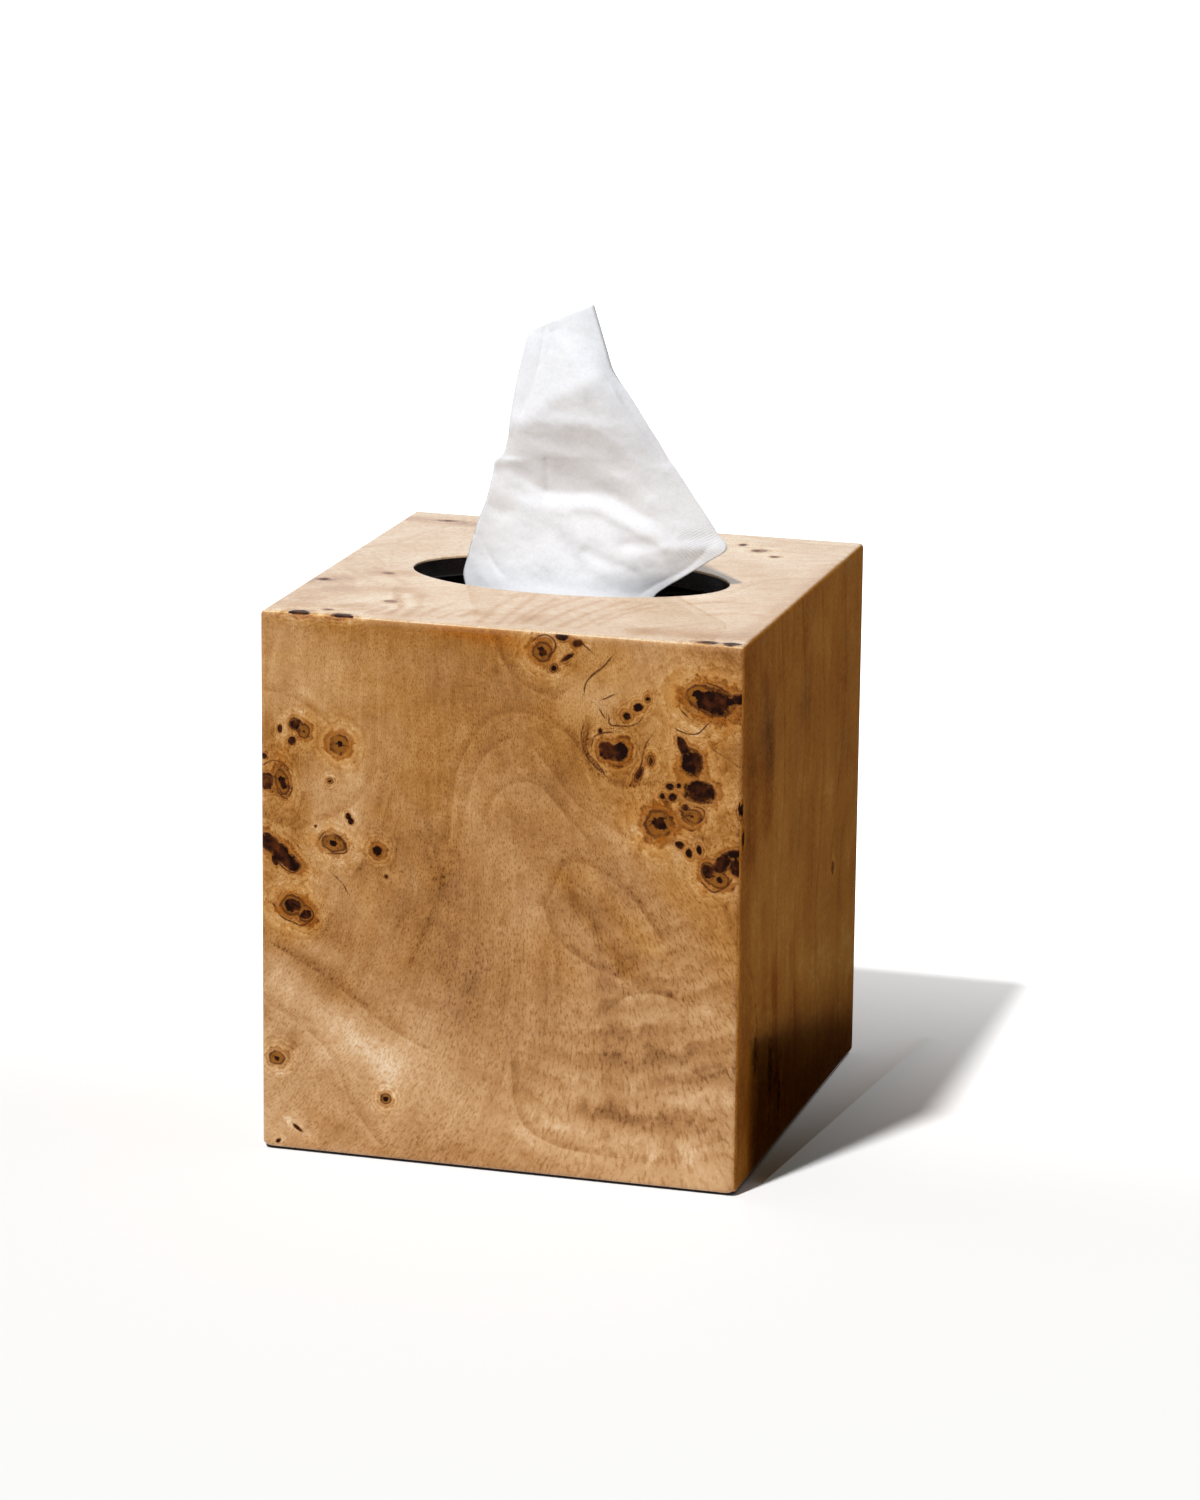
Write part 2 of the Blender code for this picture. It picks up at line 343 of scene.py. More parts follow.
def core_wall(name, right, out, material):
    """A mitred board, swept from mitre to mitre along its profile."""
    profile = wall_profile()
    count = len(profile)
    right, out = Vector(right), Vector(out)
    stations = [(-1, inset) for inset in mitre_stations]
    stations += [(1, inset) for inset in reversed(mitre_stations)]
    points = [side * (depth - glue_film - inset) * right + depth * out + Vector((0, 0, z))
              for side, inset in stations for depth, z in profile]
    faces = ring_faces(len(stations), count, order=(2, 3, 0, 1))
    faces += [tuple(range(count)), tuple(range(len(points) - 1, len(points) - count - 1, -1))]
    piece = add_piece(name, worn(points), faces, material)
    piece.data.set_sharp_from_angle(angle=sharp_turn)
    return piece


directions = {"front": ((1, 0, 0), (0, -1, 0)), "right": ((0, 1, 0), (1, 0, 0)),
              "back": ((-1, 0, 0), (0, 1, 0)), "left": ((0, -1, 0), (-1, 0, 0))}
lacquer = black_lacquer()
for side, (right, out) in directions.items():
    board = core_wall(side + "_core_wall", right, out, lacquer)
    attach(board, "cover")
    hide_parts(side + "_panel")

# Top panel. One square of the same board lies on the walls. Its oval opening is routed
# right through with the veneer on, broken with sandpaper and lacquered black-brown.
opening_half_length = 0.0435
opening_half_width = 0.0230
rim_points = 320
rim_round = 0.0008
rim_steps = 5


def oval_rim(count, grow=0.0):
    turns = [2 * math.pi * step / count for step in range(count)]
    return [((opening_half_length + grow) * math.cos(turn),
             (opening_half_width + grow) * math.sin(turn)) for turn in turns]


def square_rim(count, reach):
    """Points round a square in step with the oval's points."""
    points = []
    for step in range(count):
        turn = 2 * math.pi * step / count
        x, y = math.cos(turn), math.sin(turn)
        grow = reach / max(abs(x), abs(y))
        points.append((x * grow, y * grow))
    return points


def core_top(material):
    """Rings of points follow one another round the board's section."""
    upper = cover_height - leaf_thickness - glue_film
    rings = [[(x, y, upper) for x, y in square_rim(rim_points, core_face)],
             [(x, y, upper) for x, y in oval_rim(rim_points)]]
    for step in range(rim_steps + 1):
        turn = math.pi / 2 * step / rim_steps
        grow = rim_round * (1 - math.cos(turn))
        z = ceiling + rim_round * (1 - math.sin(turn))
        rings.append([(x, y, z) for x, y in oval_rim(rim_points, grow)])
    rings.append([(x, y, ceiling) for x, y in square_rim(rim_points, core_face)])
    faces = ring_faces(len(rings), rim_points, True, (0, 3, 2, 1))
    piece = add_piece("top_core_panel", [point for ring in rings for point in ring], faces,
                      material)
    piece.data.set_sharp_from_angle(angle=sharp_turn)
    return piece


top_board = core_top(lacquer)
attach(top_board, "cover")
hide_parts("top_panel")

# Glue blocks. Three-cornered pine strips, sawn and left bare, are rubbed into the inner
# corners with glue to stiffen the mitres.
pine_pale, pine_late = (0.66, 0.47, 0.27), (0.47, 0.26, 0.11)


def bare_pine():
    material, tree, shader = surface("bare_pine")
    place = in_mm(tree)
    growth = scaled(tree, place, 1.0, 1.0, 0.04)
    rings = added(tree, (noise(tree, growth, 0.35, 3.0, 0.5, 0.6), 26.0))
    late = between(tree, sums(tree, "SINE", rings), 0.1, 0.95)
    saw = noise(tree, scaled(tree, place, 0.3, 0.3, 6.0), 1.0, 2.0)
    fleck = noise(tree, scaled(tree, place, 5.0, 5.0, 0.5), 1.0, 2.0)
    wood = blended(tree, late, tint(pine_pale), tint(pine_late))
    shade = between(tree, added(tree, (fleck, 1.0), (saw, 0.5)), -0.3, 0.3, 0.80, 1.05)
    wood = blended(tree, 1.0, wood, shade, "MULTIPLY")
    feed(tree, shader, {"Base Color": wood, "Specular IOR Level": 0.3,
                        "Roughness": added(tree, (fleck, 0.3), (0.72, 1.0))})
    bump(tree, shader, added(tree, (saw, 1.0), (late, 0.3), (fleck, 0.6)), 0.5, 0.0002)
    return material


pine = bare_pine()
for corner in ("front_left", "front_right", "back_right", "back_left"):
    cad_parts[corner + "_glue_block"].data.materials[0] = pine

# Burl veneer. Five leaves of poplar burl cover the core, mitred where they meet. Their
# edges are sanded round, and the whole is sprayed with many coats of clear gloss lacquer.
leaf_grid = 0.0005
hidden_grid = 0.0007
top_grid = 0.0008
arc_shares = (0.22, 0.44, 0.66, 0.84, 0.96, 1.0)
mitre_turn = math.radians(45.0)
foot_turn = math.radians(50.0)
tan_shades = ((0.045, 0.016, 0.004), (0.24, 0.102, 0.034), (0.46, 0.234, 0.092),
              (0.66, 0.405, 0.205), (0.88, 0.70, 0.49))
amber_shades = ((0.035, 0.010, 0.002), (0.20, 0.068, 0.010), (0.41, 0.178, 0.042),
                (0.60, 0.325, 0.115), (0.82, 0.60, 0.37))
shade_places = (0.0, 0.12, 0.40, 0.70, 1.0)
deep_amber_and_shade = (1.06, 0.78, 0.30)
knot_black = (0.012, 0.0035, 0.0020)
knot_brown = (0.075, 0.018, 0.0045)
disc_amber = (0.24, 0.086, 0.012)
halo_amber = (0.32, 0.110, 0.013)
halo_tint, glow_tint = (0.74, 0.50, 0.18), (1.02, 0.88, 0.52)


def split_up(tree, vector):
    return wire(tree, "SeparateXYZ", {0: vector}).outputs


def painted(tree, name):
    """The three values that a leaf's points hold under one name."""
    made = wire(tree, "Attribute", attribute_type="GEOMETRY", attribute_name=name)
    return made.outputs["Vector"]


def ramp(tree, value, *stops):
    made = wire(tree, "ValToRGB", {"Fac": value})
    elements = made.color_ramp.elements
    while len(elements) < len(stops):
        elements.new(0.5)
    for element, (place, colour) in zip(elements, stops):
        element.position = place
        element.color = tint(colour)
    return made.outputs["Color"]


def burl_veneer():
    """Flow coordinates steer the fibres and pores, and the knot values place the eyes."""
    material, tree, shader = surface("burl_veneer")
    grain = painted(tree, "grain")
    _, along, line = split_up(tree, grain)
    knot, core_share, glow = split_up(tree, painted(tree, "knot"))
    light, warm, curl = split_up(tree, painted(tree, "tone"))
    hairline = split_up(tree, painted(tree, "mark"))[0]
    place = in_mm(tree)

    cloud = noise(tree, place, 0.040, 3.0)
    patch = noise(tree, place, 0.13, 4.0, 0.55, 0.8)
    mottle = noise(tree, place, 0.55, 3.0, 0.6, 0.4)
    speck = noise(tree, place, 1.7, 3.0, 0.75)
    streak = noise(tree, scaled(tree, grain, 0.30, 0.030, 0.0), 1.0, 4.0, 0.6, 0.5)
    fibre = noise(tree, scaled(tree, grain, 1.6, 0.16, 0.0), 1.0, 3.0, 0.65, 0.2)
    hatch = noise(tree, scaled(tree, grain, 2.3, 0.80, 0.0), 1.0, 2.0, 0.55)
    pores = times(tree, between(tree, hatch, -0.01, 0.15),
                  between(tree, patch, -0.16, 0.10, 0.5, 1.0))

    wave = added(tree, (along, 2 * math.pi / 4.3), (patch, 9.0), (mottle, 1.6), (streak, 5.0))
    wave = times(tree, sums(tree, "SINE", wave), curl,
                 between(tree, cloud, -0.12, 0.06, 0.35, 1.0))

    edge = added(tree, (line, 1.0), (mottle, 1.1), (speck, 0.25))
    seam = times(tree, between(tree, edge, -0.5, 0.0), between(tree, edge, 3.0, 0.1),
                 between(tree, streak, -0.14, 0.06, 0.1, 1.0),
                 added(tree, (curl, 1.4), (1.0, 1.0)))
    pale_seam = between(tree, sums(tree, "ABSOLUTE", sums(tree, "ADD", edge, 0.9)), 0.9, 0.0)

    rough_knot = added(tree, (knot, 1.0), (mottle, 0.60), (patch, 0.9), (speck, 0.05))
    near = between(tree, rough_knot, 4.6, 1.5)
    swirl = times(tree, near, added(tree, (mottle, 1.0), (patch, 1.0)))
    pale_ring = times(tree, between(tree, rough_knot, 1.5, 2.1),
                      between(tree, rough_knot, 3.0, 2.2), glow)
    rings = sums(tree, "SINE", added(tree, (rough_knot, 7.5), (mottle, 7.0), (patch, 6.0)))
    thin_rings = times(tree, between(tree, rings, 0.88, 1.0), near,
                       between(tree, patch, -0.02, 0.10))

    tone = added(tree, (light, 0.50), (cloud, 0.40), (patch, 0.40), (mottle, 0.22), (speck, 0.35),
                 (streak, 0.36), (fibre, 0.22), (pores, -0.21), (wave, 0.13), (seam, -0.125),
                 (pale_seam, 0.035), (near, 0.05), (times(tree, rings, near), 0.12),
                 (swirl, 0.58), (pale_ring, 0.13), (thin_rings, -0.36), (0.40, 1.0))
    tan = ramp(tree, tone, *zip(shade_places, tan_shades))
    amber = ramp(tree, tone, *zip(shade_places, amber_shades))
    warmth = added(tree, (warm, 0.6), (noise(tree, place, 0.055, 3.0, 0.6, 0.6), 1.1),
                   (0.45, 1.0))
    wood = blended(tree, between(tree, warmth, 0.0, 1.0), tan, amber)
    # Past a warmth of 1 the wood deepens further; on the right leaf this is painted shade.
    wood = blended(tree, between(tree, warmth, 1.0, 1.8), wood, tint(deep_amber_and_shade), "MULTIPLY")

    golden = times(tree, between(tree, rough_knot, 4.6, 1.2), glow,
                   between(tree, patch, 0.12, -0.14, 0.1, 0.8))
    wood = blended(tree, golden, wood, tint(glow_tint), "MULTIPLY")
    halo = times(tree, between(tree, rough_knot, 2.4, 1.05), glow,
                 between(tree, mottle, -0.20, 0.12, 0.30, 1.0))
    wood = blended(tree, halo, wood, tint(halo_tint), "MULTIPLY")
    disc = between(tree, rough_knot, 1.20, 0.85)
    eye = ramp(tree, added(tree, (mottle, 1.3), (speck, 0.5), (0.5, 1.0)),
               (0.28, knot_brown), (0.46, disc_amber), (0.80, halo_amber))
    wood = blended(tree, times(tree, disc, 0.9), wood, eye)
    rim = times(tree, between(tree, rough_knot, 0.80, 1.0), between(tree, rough_knot, 1.25, 1.05),
                between(tree, patch, -0.16, 0.0), 0.85)
    wood = blended(tree, rim, wood, tint(knot_brown))
    depth = added(tree, (knot, 1.0), (mottle, 1.0), (speck, 0.16), (fibre, 0.25))
    depth = sums(tree, "DIVIDE", depth, core_share)
    core = between(tree, depth, 1.15, 0.90)
    dark = ramp(tree, added(tree, (patch, 0.7), (mottle, 0.8), (0.5, 1.0)),
                (0.42, knot_black), (0.66, knot_brown), (0.92, disc_amber))
    wood = blended(tree, core, wood, dark)
    crack = sums(tree, "ABSOLUTE", added(tree, (hairline, 1.0), (mottle, 0.5)))
    crack = times(tree, between(tree, crack, 0.34, 0.10),
                  between(tree, added(tree, (patch, 1.0), (speck, 0.6)), -0.12, 0.06, 0.15, 0.9))
    wood = blended(tree, crack, wood, tint(knot_brown))

    rough = added(tree, (fibre, 0.2), (core, -0.1), (0.5, 1.0))
    gloss = between(tree, added(tree, (core, 1.0), (disc, 0.5)), 0.0, 1.0, 1.0, 0.04)
    feed(tree, shader, {"Base Color": wood, "Roughness": rough, "Specular IOR Level": 0.05,
                        "Coat Weight": gloss, "Coat Roughness": 0.035, "Coat IOR": 1.36})
    under = added(tree, (fibre, 0.6), (pores, -0.5), (core, -0.6))
    bump(tree, shader, under, 0.25, 0.00008)
    bump(tree, shader, noise(tree, place, 0.22, 1.0), 0.10, 0.00005, "Coat Normal")
    return material

# Knots of each leaf in millimetres: across, up, half width, half height, turn in degrees,
# share of it that is dark core, strength of its amber halo.
front_knots = (
    (57, 132.1, 5.2, 3.7, -10, 0.9, 0.9), (63.4, 133.2, 2.4, 1.3, 15, 0.95, 0.4),
    (52.8, 133.9, 2.6, 2.2, 30, 0.45, 0.9), (29.3, 117, 2, 2.4, 15, 0.95, 0.8),
    (32.7, 117, 2, 2.4, -20, 0.95, 0.8), (34.4, 126.5, 1.1, 1.2, 20, 0.85, 0.5),
    (37.5, 129.1, 1.3, 1.1, 20, 0.9, 0.5), (39.8, 131.6, 0.8, 1.2, 0, 0.55, 0.4),
    (27.3, 121.9, 0.6, 0.8, 0, 0.8, 0.3), (51.8, 115.6, 2.8, 3.3, 10, 0.92, 0.8),
    (49.3, 119.8, 1.2, 2.6, 20, 0.9, 0.6), (54, 108.1, 3.9, 2.9, 0, 0.97, 0.6),
    (40.9, 115.3, 1, 1.4, 0, 0.6, 0.7), (37.9, 111.6, 0.9, 2.4, -25, 0.7, 0.6),
    (46, 108.9, 1.1, 0.8, 0, 0.9, 0.4), (46.8, 106.1, 1.1, 1, 20, 0.9, 0.5),
    (44, 106.2, 0.8, 0.8, 0, 0.85, 0.3), (48.4, 109.3, 0.7, 0.9, 0, 0.85, 0.3),
    (43.1, 98.8, 3.5, 3.4, 0, 0.5, 1), (50.1, 103.5, 1.1, 1, 0, 0.75, 0.6),
    (52, 101.4, 2.5, 1.9, 0, 0.25, 0.8), (49, 93.6, 1.4, 1, -15, 0.9, 0.4),
    (51.4, 91.7, 1, 1.4, 10, 0.9, 0.4), (54.1, 92.5, 0.7, 1.4, 10, 0.85, 0.3),
    (56.6, 87.3, 1.9, 2.4, 10, 0.85, 0.7), (60.1, 89.4, 1.7, 3, -30, 0.97, 0.6),
    (64.3, 88.7, 1.9, 2.4, 20, 0.97, 0.6), (63.7, 92.6, 2.3, 1, 0, 0.97, 0.5),
    (59.3, 85.1, 2.8, 2.1, 0, 0.35, 0.9), (65.1, 104.5, 0.8, 1.9, 0, 0.97, 0.3),
    (11.8, 141.8, 2.7, 2.5, 0, 0.42, 0.9), (16.8, 146.1, 1.7, 0.9, 0, 0.95, 0.7),
    (21.1, 144.7, 1.5, 1, 15, 0.85, 0.8), (14.8, 137.7, 1, 1.3, -35, 0.6, 0.4),
    (18.3, 140.7, 2.1, 0.6, 35, 0.85, 0.3), (-59.5, 115.7, 0.7, 1.3, 0, 0.85, 0.4),
    (-55.3, 117.2, 1.8, 1.6, 20, 0.8, 0.6), (-52.9, 115.4, 1.5, 1.9, 0, 0.2, 0.9),
    (-56.2, 112.6, 1.1, 1.2, 0, 0.85, 0.4), (-43.1, 112.8, 2.3, 2.4, 0, 0.38, 0.8),
    (-64, 107.9, 0.9, 0.8, 0, 0.9, 0.3), (-63.5, 101.2, 1.9, 2.3, 0, 0.96, 0.6),
    (-58.9, 101.2, 1.6, 3.3, 12, 0.6, 0.6), (-45.8, 102.7, 0.9, 0.9, 0, 0.6, 0.3),
    (-40.8, 93.6, 0.8, 0.9, 0, 0.85, 0.5), (-40, 92.2, 0.8, 0.8, 0, 0.85, 0.5),
    (-44.7, 85.8, 3.1, 2.2, -10, 0.36, 0.7), (-49.8, 90.1, 0.5, 0.5, 0, 0.8, 0.2),
    (-32.6, 84.9, 1.5, 1.5, 0, 0.85, 0.7), (-62.8, 84.6, 2.9, 2.1, -30, 0.98, 0.7),
    (-59.6, 82.1, 3.2, 2.2, -38, 0.98, 0.7), (-56.4, 79.4, 2.6, 1.8, -25, 0.98, 0.7),
    (-61.1, 79.7, 0.7, 1.3, 20, 0.95, 0.2), (-56.2, 68.1, 3.2, 2.6, -10, 0.7, 1),
    (-52.5, 65.8, 2.1, 2.1, 0, 0.65, 1), (-30.4, 78.2, 0.6, 0.6, 0, 0.8, 0.2),
    (-60.8, 25.5, 2, 1.8, 0, 0.42, 0.5), (-30.4, 17.2, 1.4, 1.5, 0, 0.5, 0.5),
    (-55.1, 6.7, 1.8, 0.5, -35, 0.9, 0.2), (-60.4, 2.6, 0.8, 0.5, 30, 0.8, 0.2),
    (-54.4, 148, 2.6, 1.5, 0, 0.9, 0.8), (-42.6, 147.9, 2.8, 1.2, 0, 0.9, 0.8),
)
# Broad strokes of tone in millimetres: from, to, width, lightness, warmth. A stroke 900 wide
# covers its whole leaf.
front_strokes = (
    # The first stroke is a painted highlight along the leaf's top edge.
    (-64, 147.2, 64, 147.2, 0.7, 0.55, -0.5), (-58, 48, -50, 34, 9, 0.08, -0.25),
    (42, 42, 60, 24, 12, 0.08, -0.3), (40, 8, 62, 5, 8, 0.05, -0.25),
    (-48, 144.6, 1, 144.6, 3.8, -0.04, 0.55), (-11.2, 146.4, 31, 138.5, 5, 0.05, 0.7),
    (-54.3, 135.3, -29.2, 125.3, 16, 0.22, -0.2), (20.9, 128.4, 46, 138.5, 9, 0.35, -0.1),
    (-19.2, 125.3, -13.2, 80.2, 9, -0.11, 0.2), (-20.2, 90.2, -16.2, 78.2, 1.3, -0.13, 0.1),
    (-16.2, 78.2, -24.2, 55.2, 1.6, -0.11, 0.1), (-44.3, 105.2, -47.3, 75.1, 8, 0.3, -0.1),
    (-19.2, 86.2, 0.9, 50.2, 15, -0.12, -0.2), (0.9, 112.4, 15.9, 92.3, 9, -0.08, 0),
    (16.9, 82.3, 35, 58.3, 2.2, -0.13, 0.5), (23, 84.3, 43, 66.4, 3, 0.22, 0.2),
    (28, 76.3, 46, 62.4, 2, -0.13, 0.3), (31, 70.3, 51.1, 60.4, 2.6, 0.2, 0.1),
    (46, 84.4, 63.1, 68.4, 6, 0.05, 0.4), (-61.3, 58.1, -29.2, 37.1, 4, -0.13, 0.3),
    (-62.3, 63.1, -44.2, 54.1, 3, 0.4, 0), (-59.3, 47.1, -27.2, 24.1, 4, 0.28, -0.1),
    (-63.3, 38, -39.2, 14, 3, -0.18, 0.2), (-51.2, 12, -29.2, 2, 3.5, -0.13, 0.4),
    (-24.2, 30.1, 0.9, 14.1, 8, 0.22, -0.1), (37, 50.3, 65.1, 46.4, 5, 0.27, -0.25),
    (31, 36.3, 65.1, 34.4, 3.5, -0.19, -0.1), (23, 26.2, 65.1, 27.3, 3, 0.3, -0.2),
    (26, 19.2, 61.1, 17.3, 3, -0.16, 0.1), (9, 12.2, 61.1, 6.3, 6, 0.28, -0.2),
    (12.9, 46.2, 31, 40.3, 6, -0.09, 0), (-9.1, 46.2, 10.9, 36.2, 8, -0.06, 0),
    (63.1, 76.4, 65.1, 52.4, 5, -0.07, 0.3), (41, 96, 50, 84, 8, 0.15, 0.1),
    (-52, 10, -28, 30, 20, 0.18, -0.1), (-62, 104, -56, 64, 9, -0.03, 0.8),
    (-30, 120, -20, 70, 14, 0.02, 0.25), (-60, 132, 60, 128, 30, 0.05, 0.4),
    (-18, 145.5, -4, 144.8, 3, -0.05, 0.4), (-60, 20, 60, 10, 30, 0.12, -0.55),
    (-8, 92, 8, 50, 16, 0.14, 0), (-62, 128, -36, 112, 9, 0.1, 0),
    (-62, 40, -34, 16, 13, 0.14, -0.15), (24, 118, 60, 106, 13, -0.12, 0.6),
    (52, 132, 60, 132, 8, -0.1, 0.6), (-58, 112, -52, 116, 6, -0.08, 0.6),
    (58, 88, 64, 88, 6, -0.1, 0.5), (27, 108, 33, 105, 4, 0.18, 0),
    (44, 124, 49, 114, 3.5, 0.22, -0.1), (-40, 104, -37, 98, 3, 0.3, -0.4),
    (-52, 126, -46, 120, 3, 0.2, -0.2), (-36, 74, -34, 64, 4, 0.12, 0.3),
    (20, 134, 26, 128, 4, 0.14, -0.1), (-20, 84, -18, 72, 5, 0.2, 0),
    (-62, 52, -30, 30, 5, 0.16, -0.1), (-50, 100, -42, 92, 5, 0.12, -0.3),
    (6, 124, 12, 116, 6, 0.1, 0), (-65, 30, -62, 4, 6, 0.14, -0.3), (-40, 26, -20, 12, 7, 0.1, 0),
    (26, 98, 40, 88, 7, 0.14, 0), (-58, 34, -48, 26, 5, 0.12, -0.1),
)
top_knots = (
    (-54.4, -63.9, 2.6, 2.4, 0, 0.9, 0.9), (-42.6, -64.1, 2.8, 2, 0, 0.9, 0.9),
    (-48.3, -58.8, 1.2, 1, 0, 0.3, 0.7), (-60.8, -25.6, 2.2, 1.5, 0, 0.55, 0.5),
    (-46.8, -13.4, 1.4, 1.1, 0, 0.4, 0.8), (-52, 54.8, 2.8, 1.1, 10, 0.45, 0.5),
    (54.8, -62.8, 2.8, 1.4, 0, 0.85, 0.6), (61.3, -62.6, 2.4, 1.6, 0, 0.9, 0.6),
    (-35.8, -44.7, 1.8, 1.5, 0, 0.2, 0.4), (40, 45.4, 2.2, 1.8, 20, 0.4, 0.7),
    (46, 39.5, 1.4, 1.2, 0, 0.55, 0.6), (34, 51.3, 1.2, 1.4, 0, 0.7, 0.5),
)
top_strokes = (
    # The first stroke paints the whole top paler and cooler, painted light for the face turned up
    # to the lamp and sky. The second is a painted highlight along its front edge.
    (0, 0, 1, 0, 900, 0.9, -0.55), (-64, -65.2, 64, -65.2, 0.7, 0.3, -0.4),
    # The next stroke, before the opening, is a painted reflection of the tissue in the lacquer.
    (18, -40, 40, -42, 6, 0.14, -0.4), (-64, -28, -57, -24, 4.2, -1.05, -0.1),
    (-56, -35, -52, -33, 3, -0.35, 0.3), (-50, -14, -43, -12, 3.6, -0.6, 0.4),
    (-59, -48, -55, -47, 2.2, -0.35, 0.3), (-46, -53, -42, -51, 2, -0.35, 0.4),
    (-62, 54, -40, 53, 3.5, -0.85, 0.3), (-60, -42, -38, -30, 5, -0.22, 0.5),
    (-64, -56, -30, -56, 5, -0.18, 0.8), (-12, -54, -11, -50, 3, -0.2, 0.9),
    (4, -53, 6, -48, 3, -0.18, 0.9), (36, -56, 64, -55, 4.5, -0.4, 1),
    (-38, -31, -30, -36, 3, -0.2, 0.4), (-20, 40, 30, 56, 8, 0.1, 0),
    (55, -10, 62, 50, 6, -0.08, 0.2), (62, -50, 64.5, 40, 2.5, -0.25, 0.5),
    (-23.3, -58.7, -22.1, -49.8, 0.9, -0.34, 0.6), (-22.1, -49.8, -19.4, -41, 0.9, -0.3, 0.5),
    (-17.9, -58.6, -16.9, -53.2, 0.8, -0.3, 0.6), (-16.9, -53.2, -15.3, -47.5, 0.8, -0.26, 0.5),
    (-13.5, -55.4, -12.2, -50.7, 0.9, -0.3, 0.6), (-12.2, -50.7, -11.6, -46.2, 0.9, -0.24, 0.5),
    (-6.7, -59.9, -7.9, -40.6, 1, -0.34, 0.6), (-7.9, -40.6, -6.7, -28.9, 1, -0.26, 0.4),
    (-1.9, -60, -2, -42.1, 1, -0.34, 0.6), (-2, -42.1, -1.9, -24.6, 1, -0.26, 0.4),
    (1.6, -60.5, 2.2, -42.4, 0.9, -0.26, 0.6), (2.2, -42.4, 4.5, -27.7, 0.9, -0.22, 0.4),
    (4.2, -57.9, 5.1, -39.7, 0.9, -0.3, 0.6), (5.1, -39.7, 9.9, -25, 0.9, -0.24, 0.4),
    (8.9, -58, 11.6, -40, 1, -0.34, 0.6), (11.6, -40, 16.3, -25.9, 1, -0.28, 0.4),
    (14.2, -57.9, 16.9, -41.7, 1, -0.34, 0.6), (16.9, -41.7, 22.3, -25.2, 1, -0.28, 0.4),
    (19, -58, 22.2, -41.6, 1, -0.3, 0.6), (22.2, -41.6, 28.9, -24.6, 1, -0.24, 0.4),
    (22.9, -53.3, 25.7, -39.6, 0.9, -0.28, 0.6), (25.7, -39.6, 31.7, -27.2, 0.9, -0.24, 0.4),
    (31.3, -8.8, 37.7, -7, 0.9, -0.34, 0.3), (37.7, -7, 45.5, -5.5, 0.9, -0.3, 0.3),
    (39.1, -22.1, 46.1, -17.9, 1.1, -0.26, 0.4), (46.1, -17.9, 54, -17, 1.1, -0.24, 0.4),
    (47.4, -33, 53.2, -29.4, 1.1, -0.24, 0.4), (53.2, -29.4, 59.8, -28.9, 1.1, -0.22, 0.4),
    (-34.3, -58.2, -32.6, -52, 1, 0.34, -0.2), (-32.6, -52, -38.4, -39.6, 1, 0.34, -0.2),
    (-29.6, -59.2, -29.7, -46.3, 1, 0.34, -0.2), (-29.7, -46.3, -34.8, -34.9, 1, 0.32, -0.2),
    (-36.8, -54.8, -36.2, -48.5, 0.8, 0.3, -0.2), (-32, -59, -31.2, -50, 0.9, -0.3, 0.6),
    (-31.2, -50, -36.4, -37, 0.9, -0.28, 0.5), (-27, -60, -26.6, -48, 1, -0.26, 0.6),
    (-26.6, -48, -31, -34, 1, -0.24, 0.5), (-52, -8, -38, -24, 1.2, -0.22, 0.4),
    (-60, -10, -46, -26, 1.4, -0.18, 0.4),
)
right_knots = (
    (-62.5, 96, 1, 1.8, 0, 0.9, 0.5), (-63.8, 104, 0.9, 1.6, 0, 0.95, 0.3),
    (-46, 33, 1.4, 4.2, 4, 0.3, 0.3), (-30, 24, 1.8, 5.5, 0, 0.35, 0.3),
    (36, 62, 1.2, 1.5, 10, 0.35, 0.5), (-20, 14, 1.5, 4, 0, 0.4, 0.3),
)
right_strokes = (
    # The first stroke paints the whole right leaf a deeper amber, painted shade for the side that
    # stands in shade. The second paints shade along its foot, and the third and fourth a painted
    # lighter band above that.
    (0, 70, 1, 70, 900, 0.42, 2.2), (-64, 12, 60, 0, 16, -0.3, 0), (-46, 66, 60, 30, 13, 0.25, 0),
    (-12, 46, 34, 34, 8, 0.15, 0.1), (-58, 140, -58, 20, 7, -0.32, 0.4),
    (-42, 132, -38, 96, 6, -0.4, -0.3), (-36, 118, -35, 108, 4, -0.35, -0.3),
    (0, 140, 3, 118, 6, -0.3, -0.3), (24, 130, 30, 70, 8, 0.15, 0.1),
    (-54, 116, -52, 90, 4, -0.25, -0.3), (-24, 104, -20, 60, 7, 0.16, 0.2),
    (-40, 70, -38, 44, 4, -0.25, 0.1), (-8, 50, -4, 30, 4, -0.3, 0.1),
    (-28, 52, -25, 20, 3.5, -0.4, 0.1), (10, 90, 14, 50, 5, -0.15, 0.3),
    (44, 146, 48, 90, 7, -0.12, -0.2), (52, 80, 58, 30, 7, 0.14, 0.2),
)
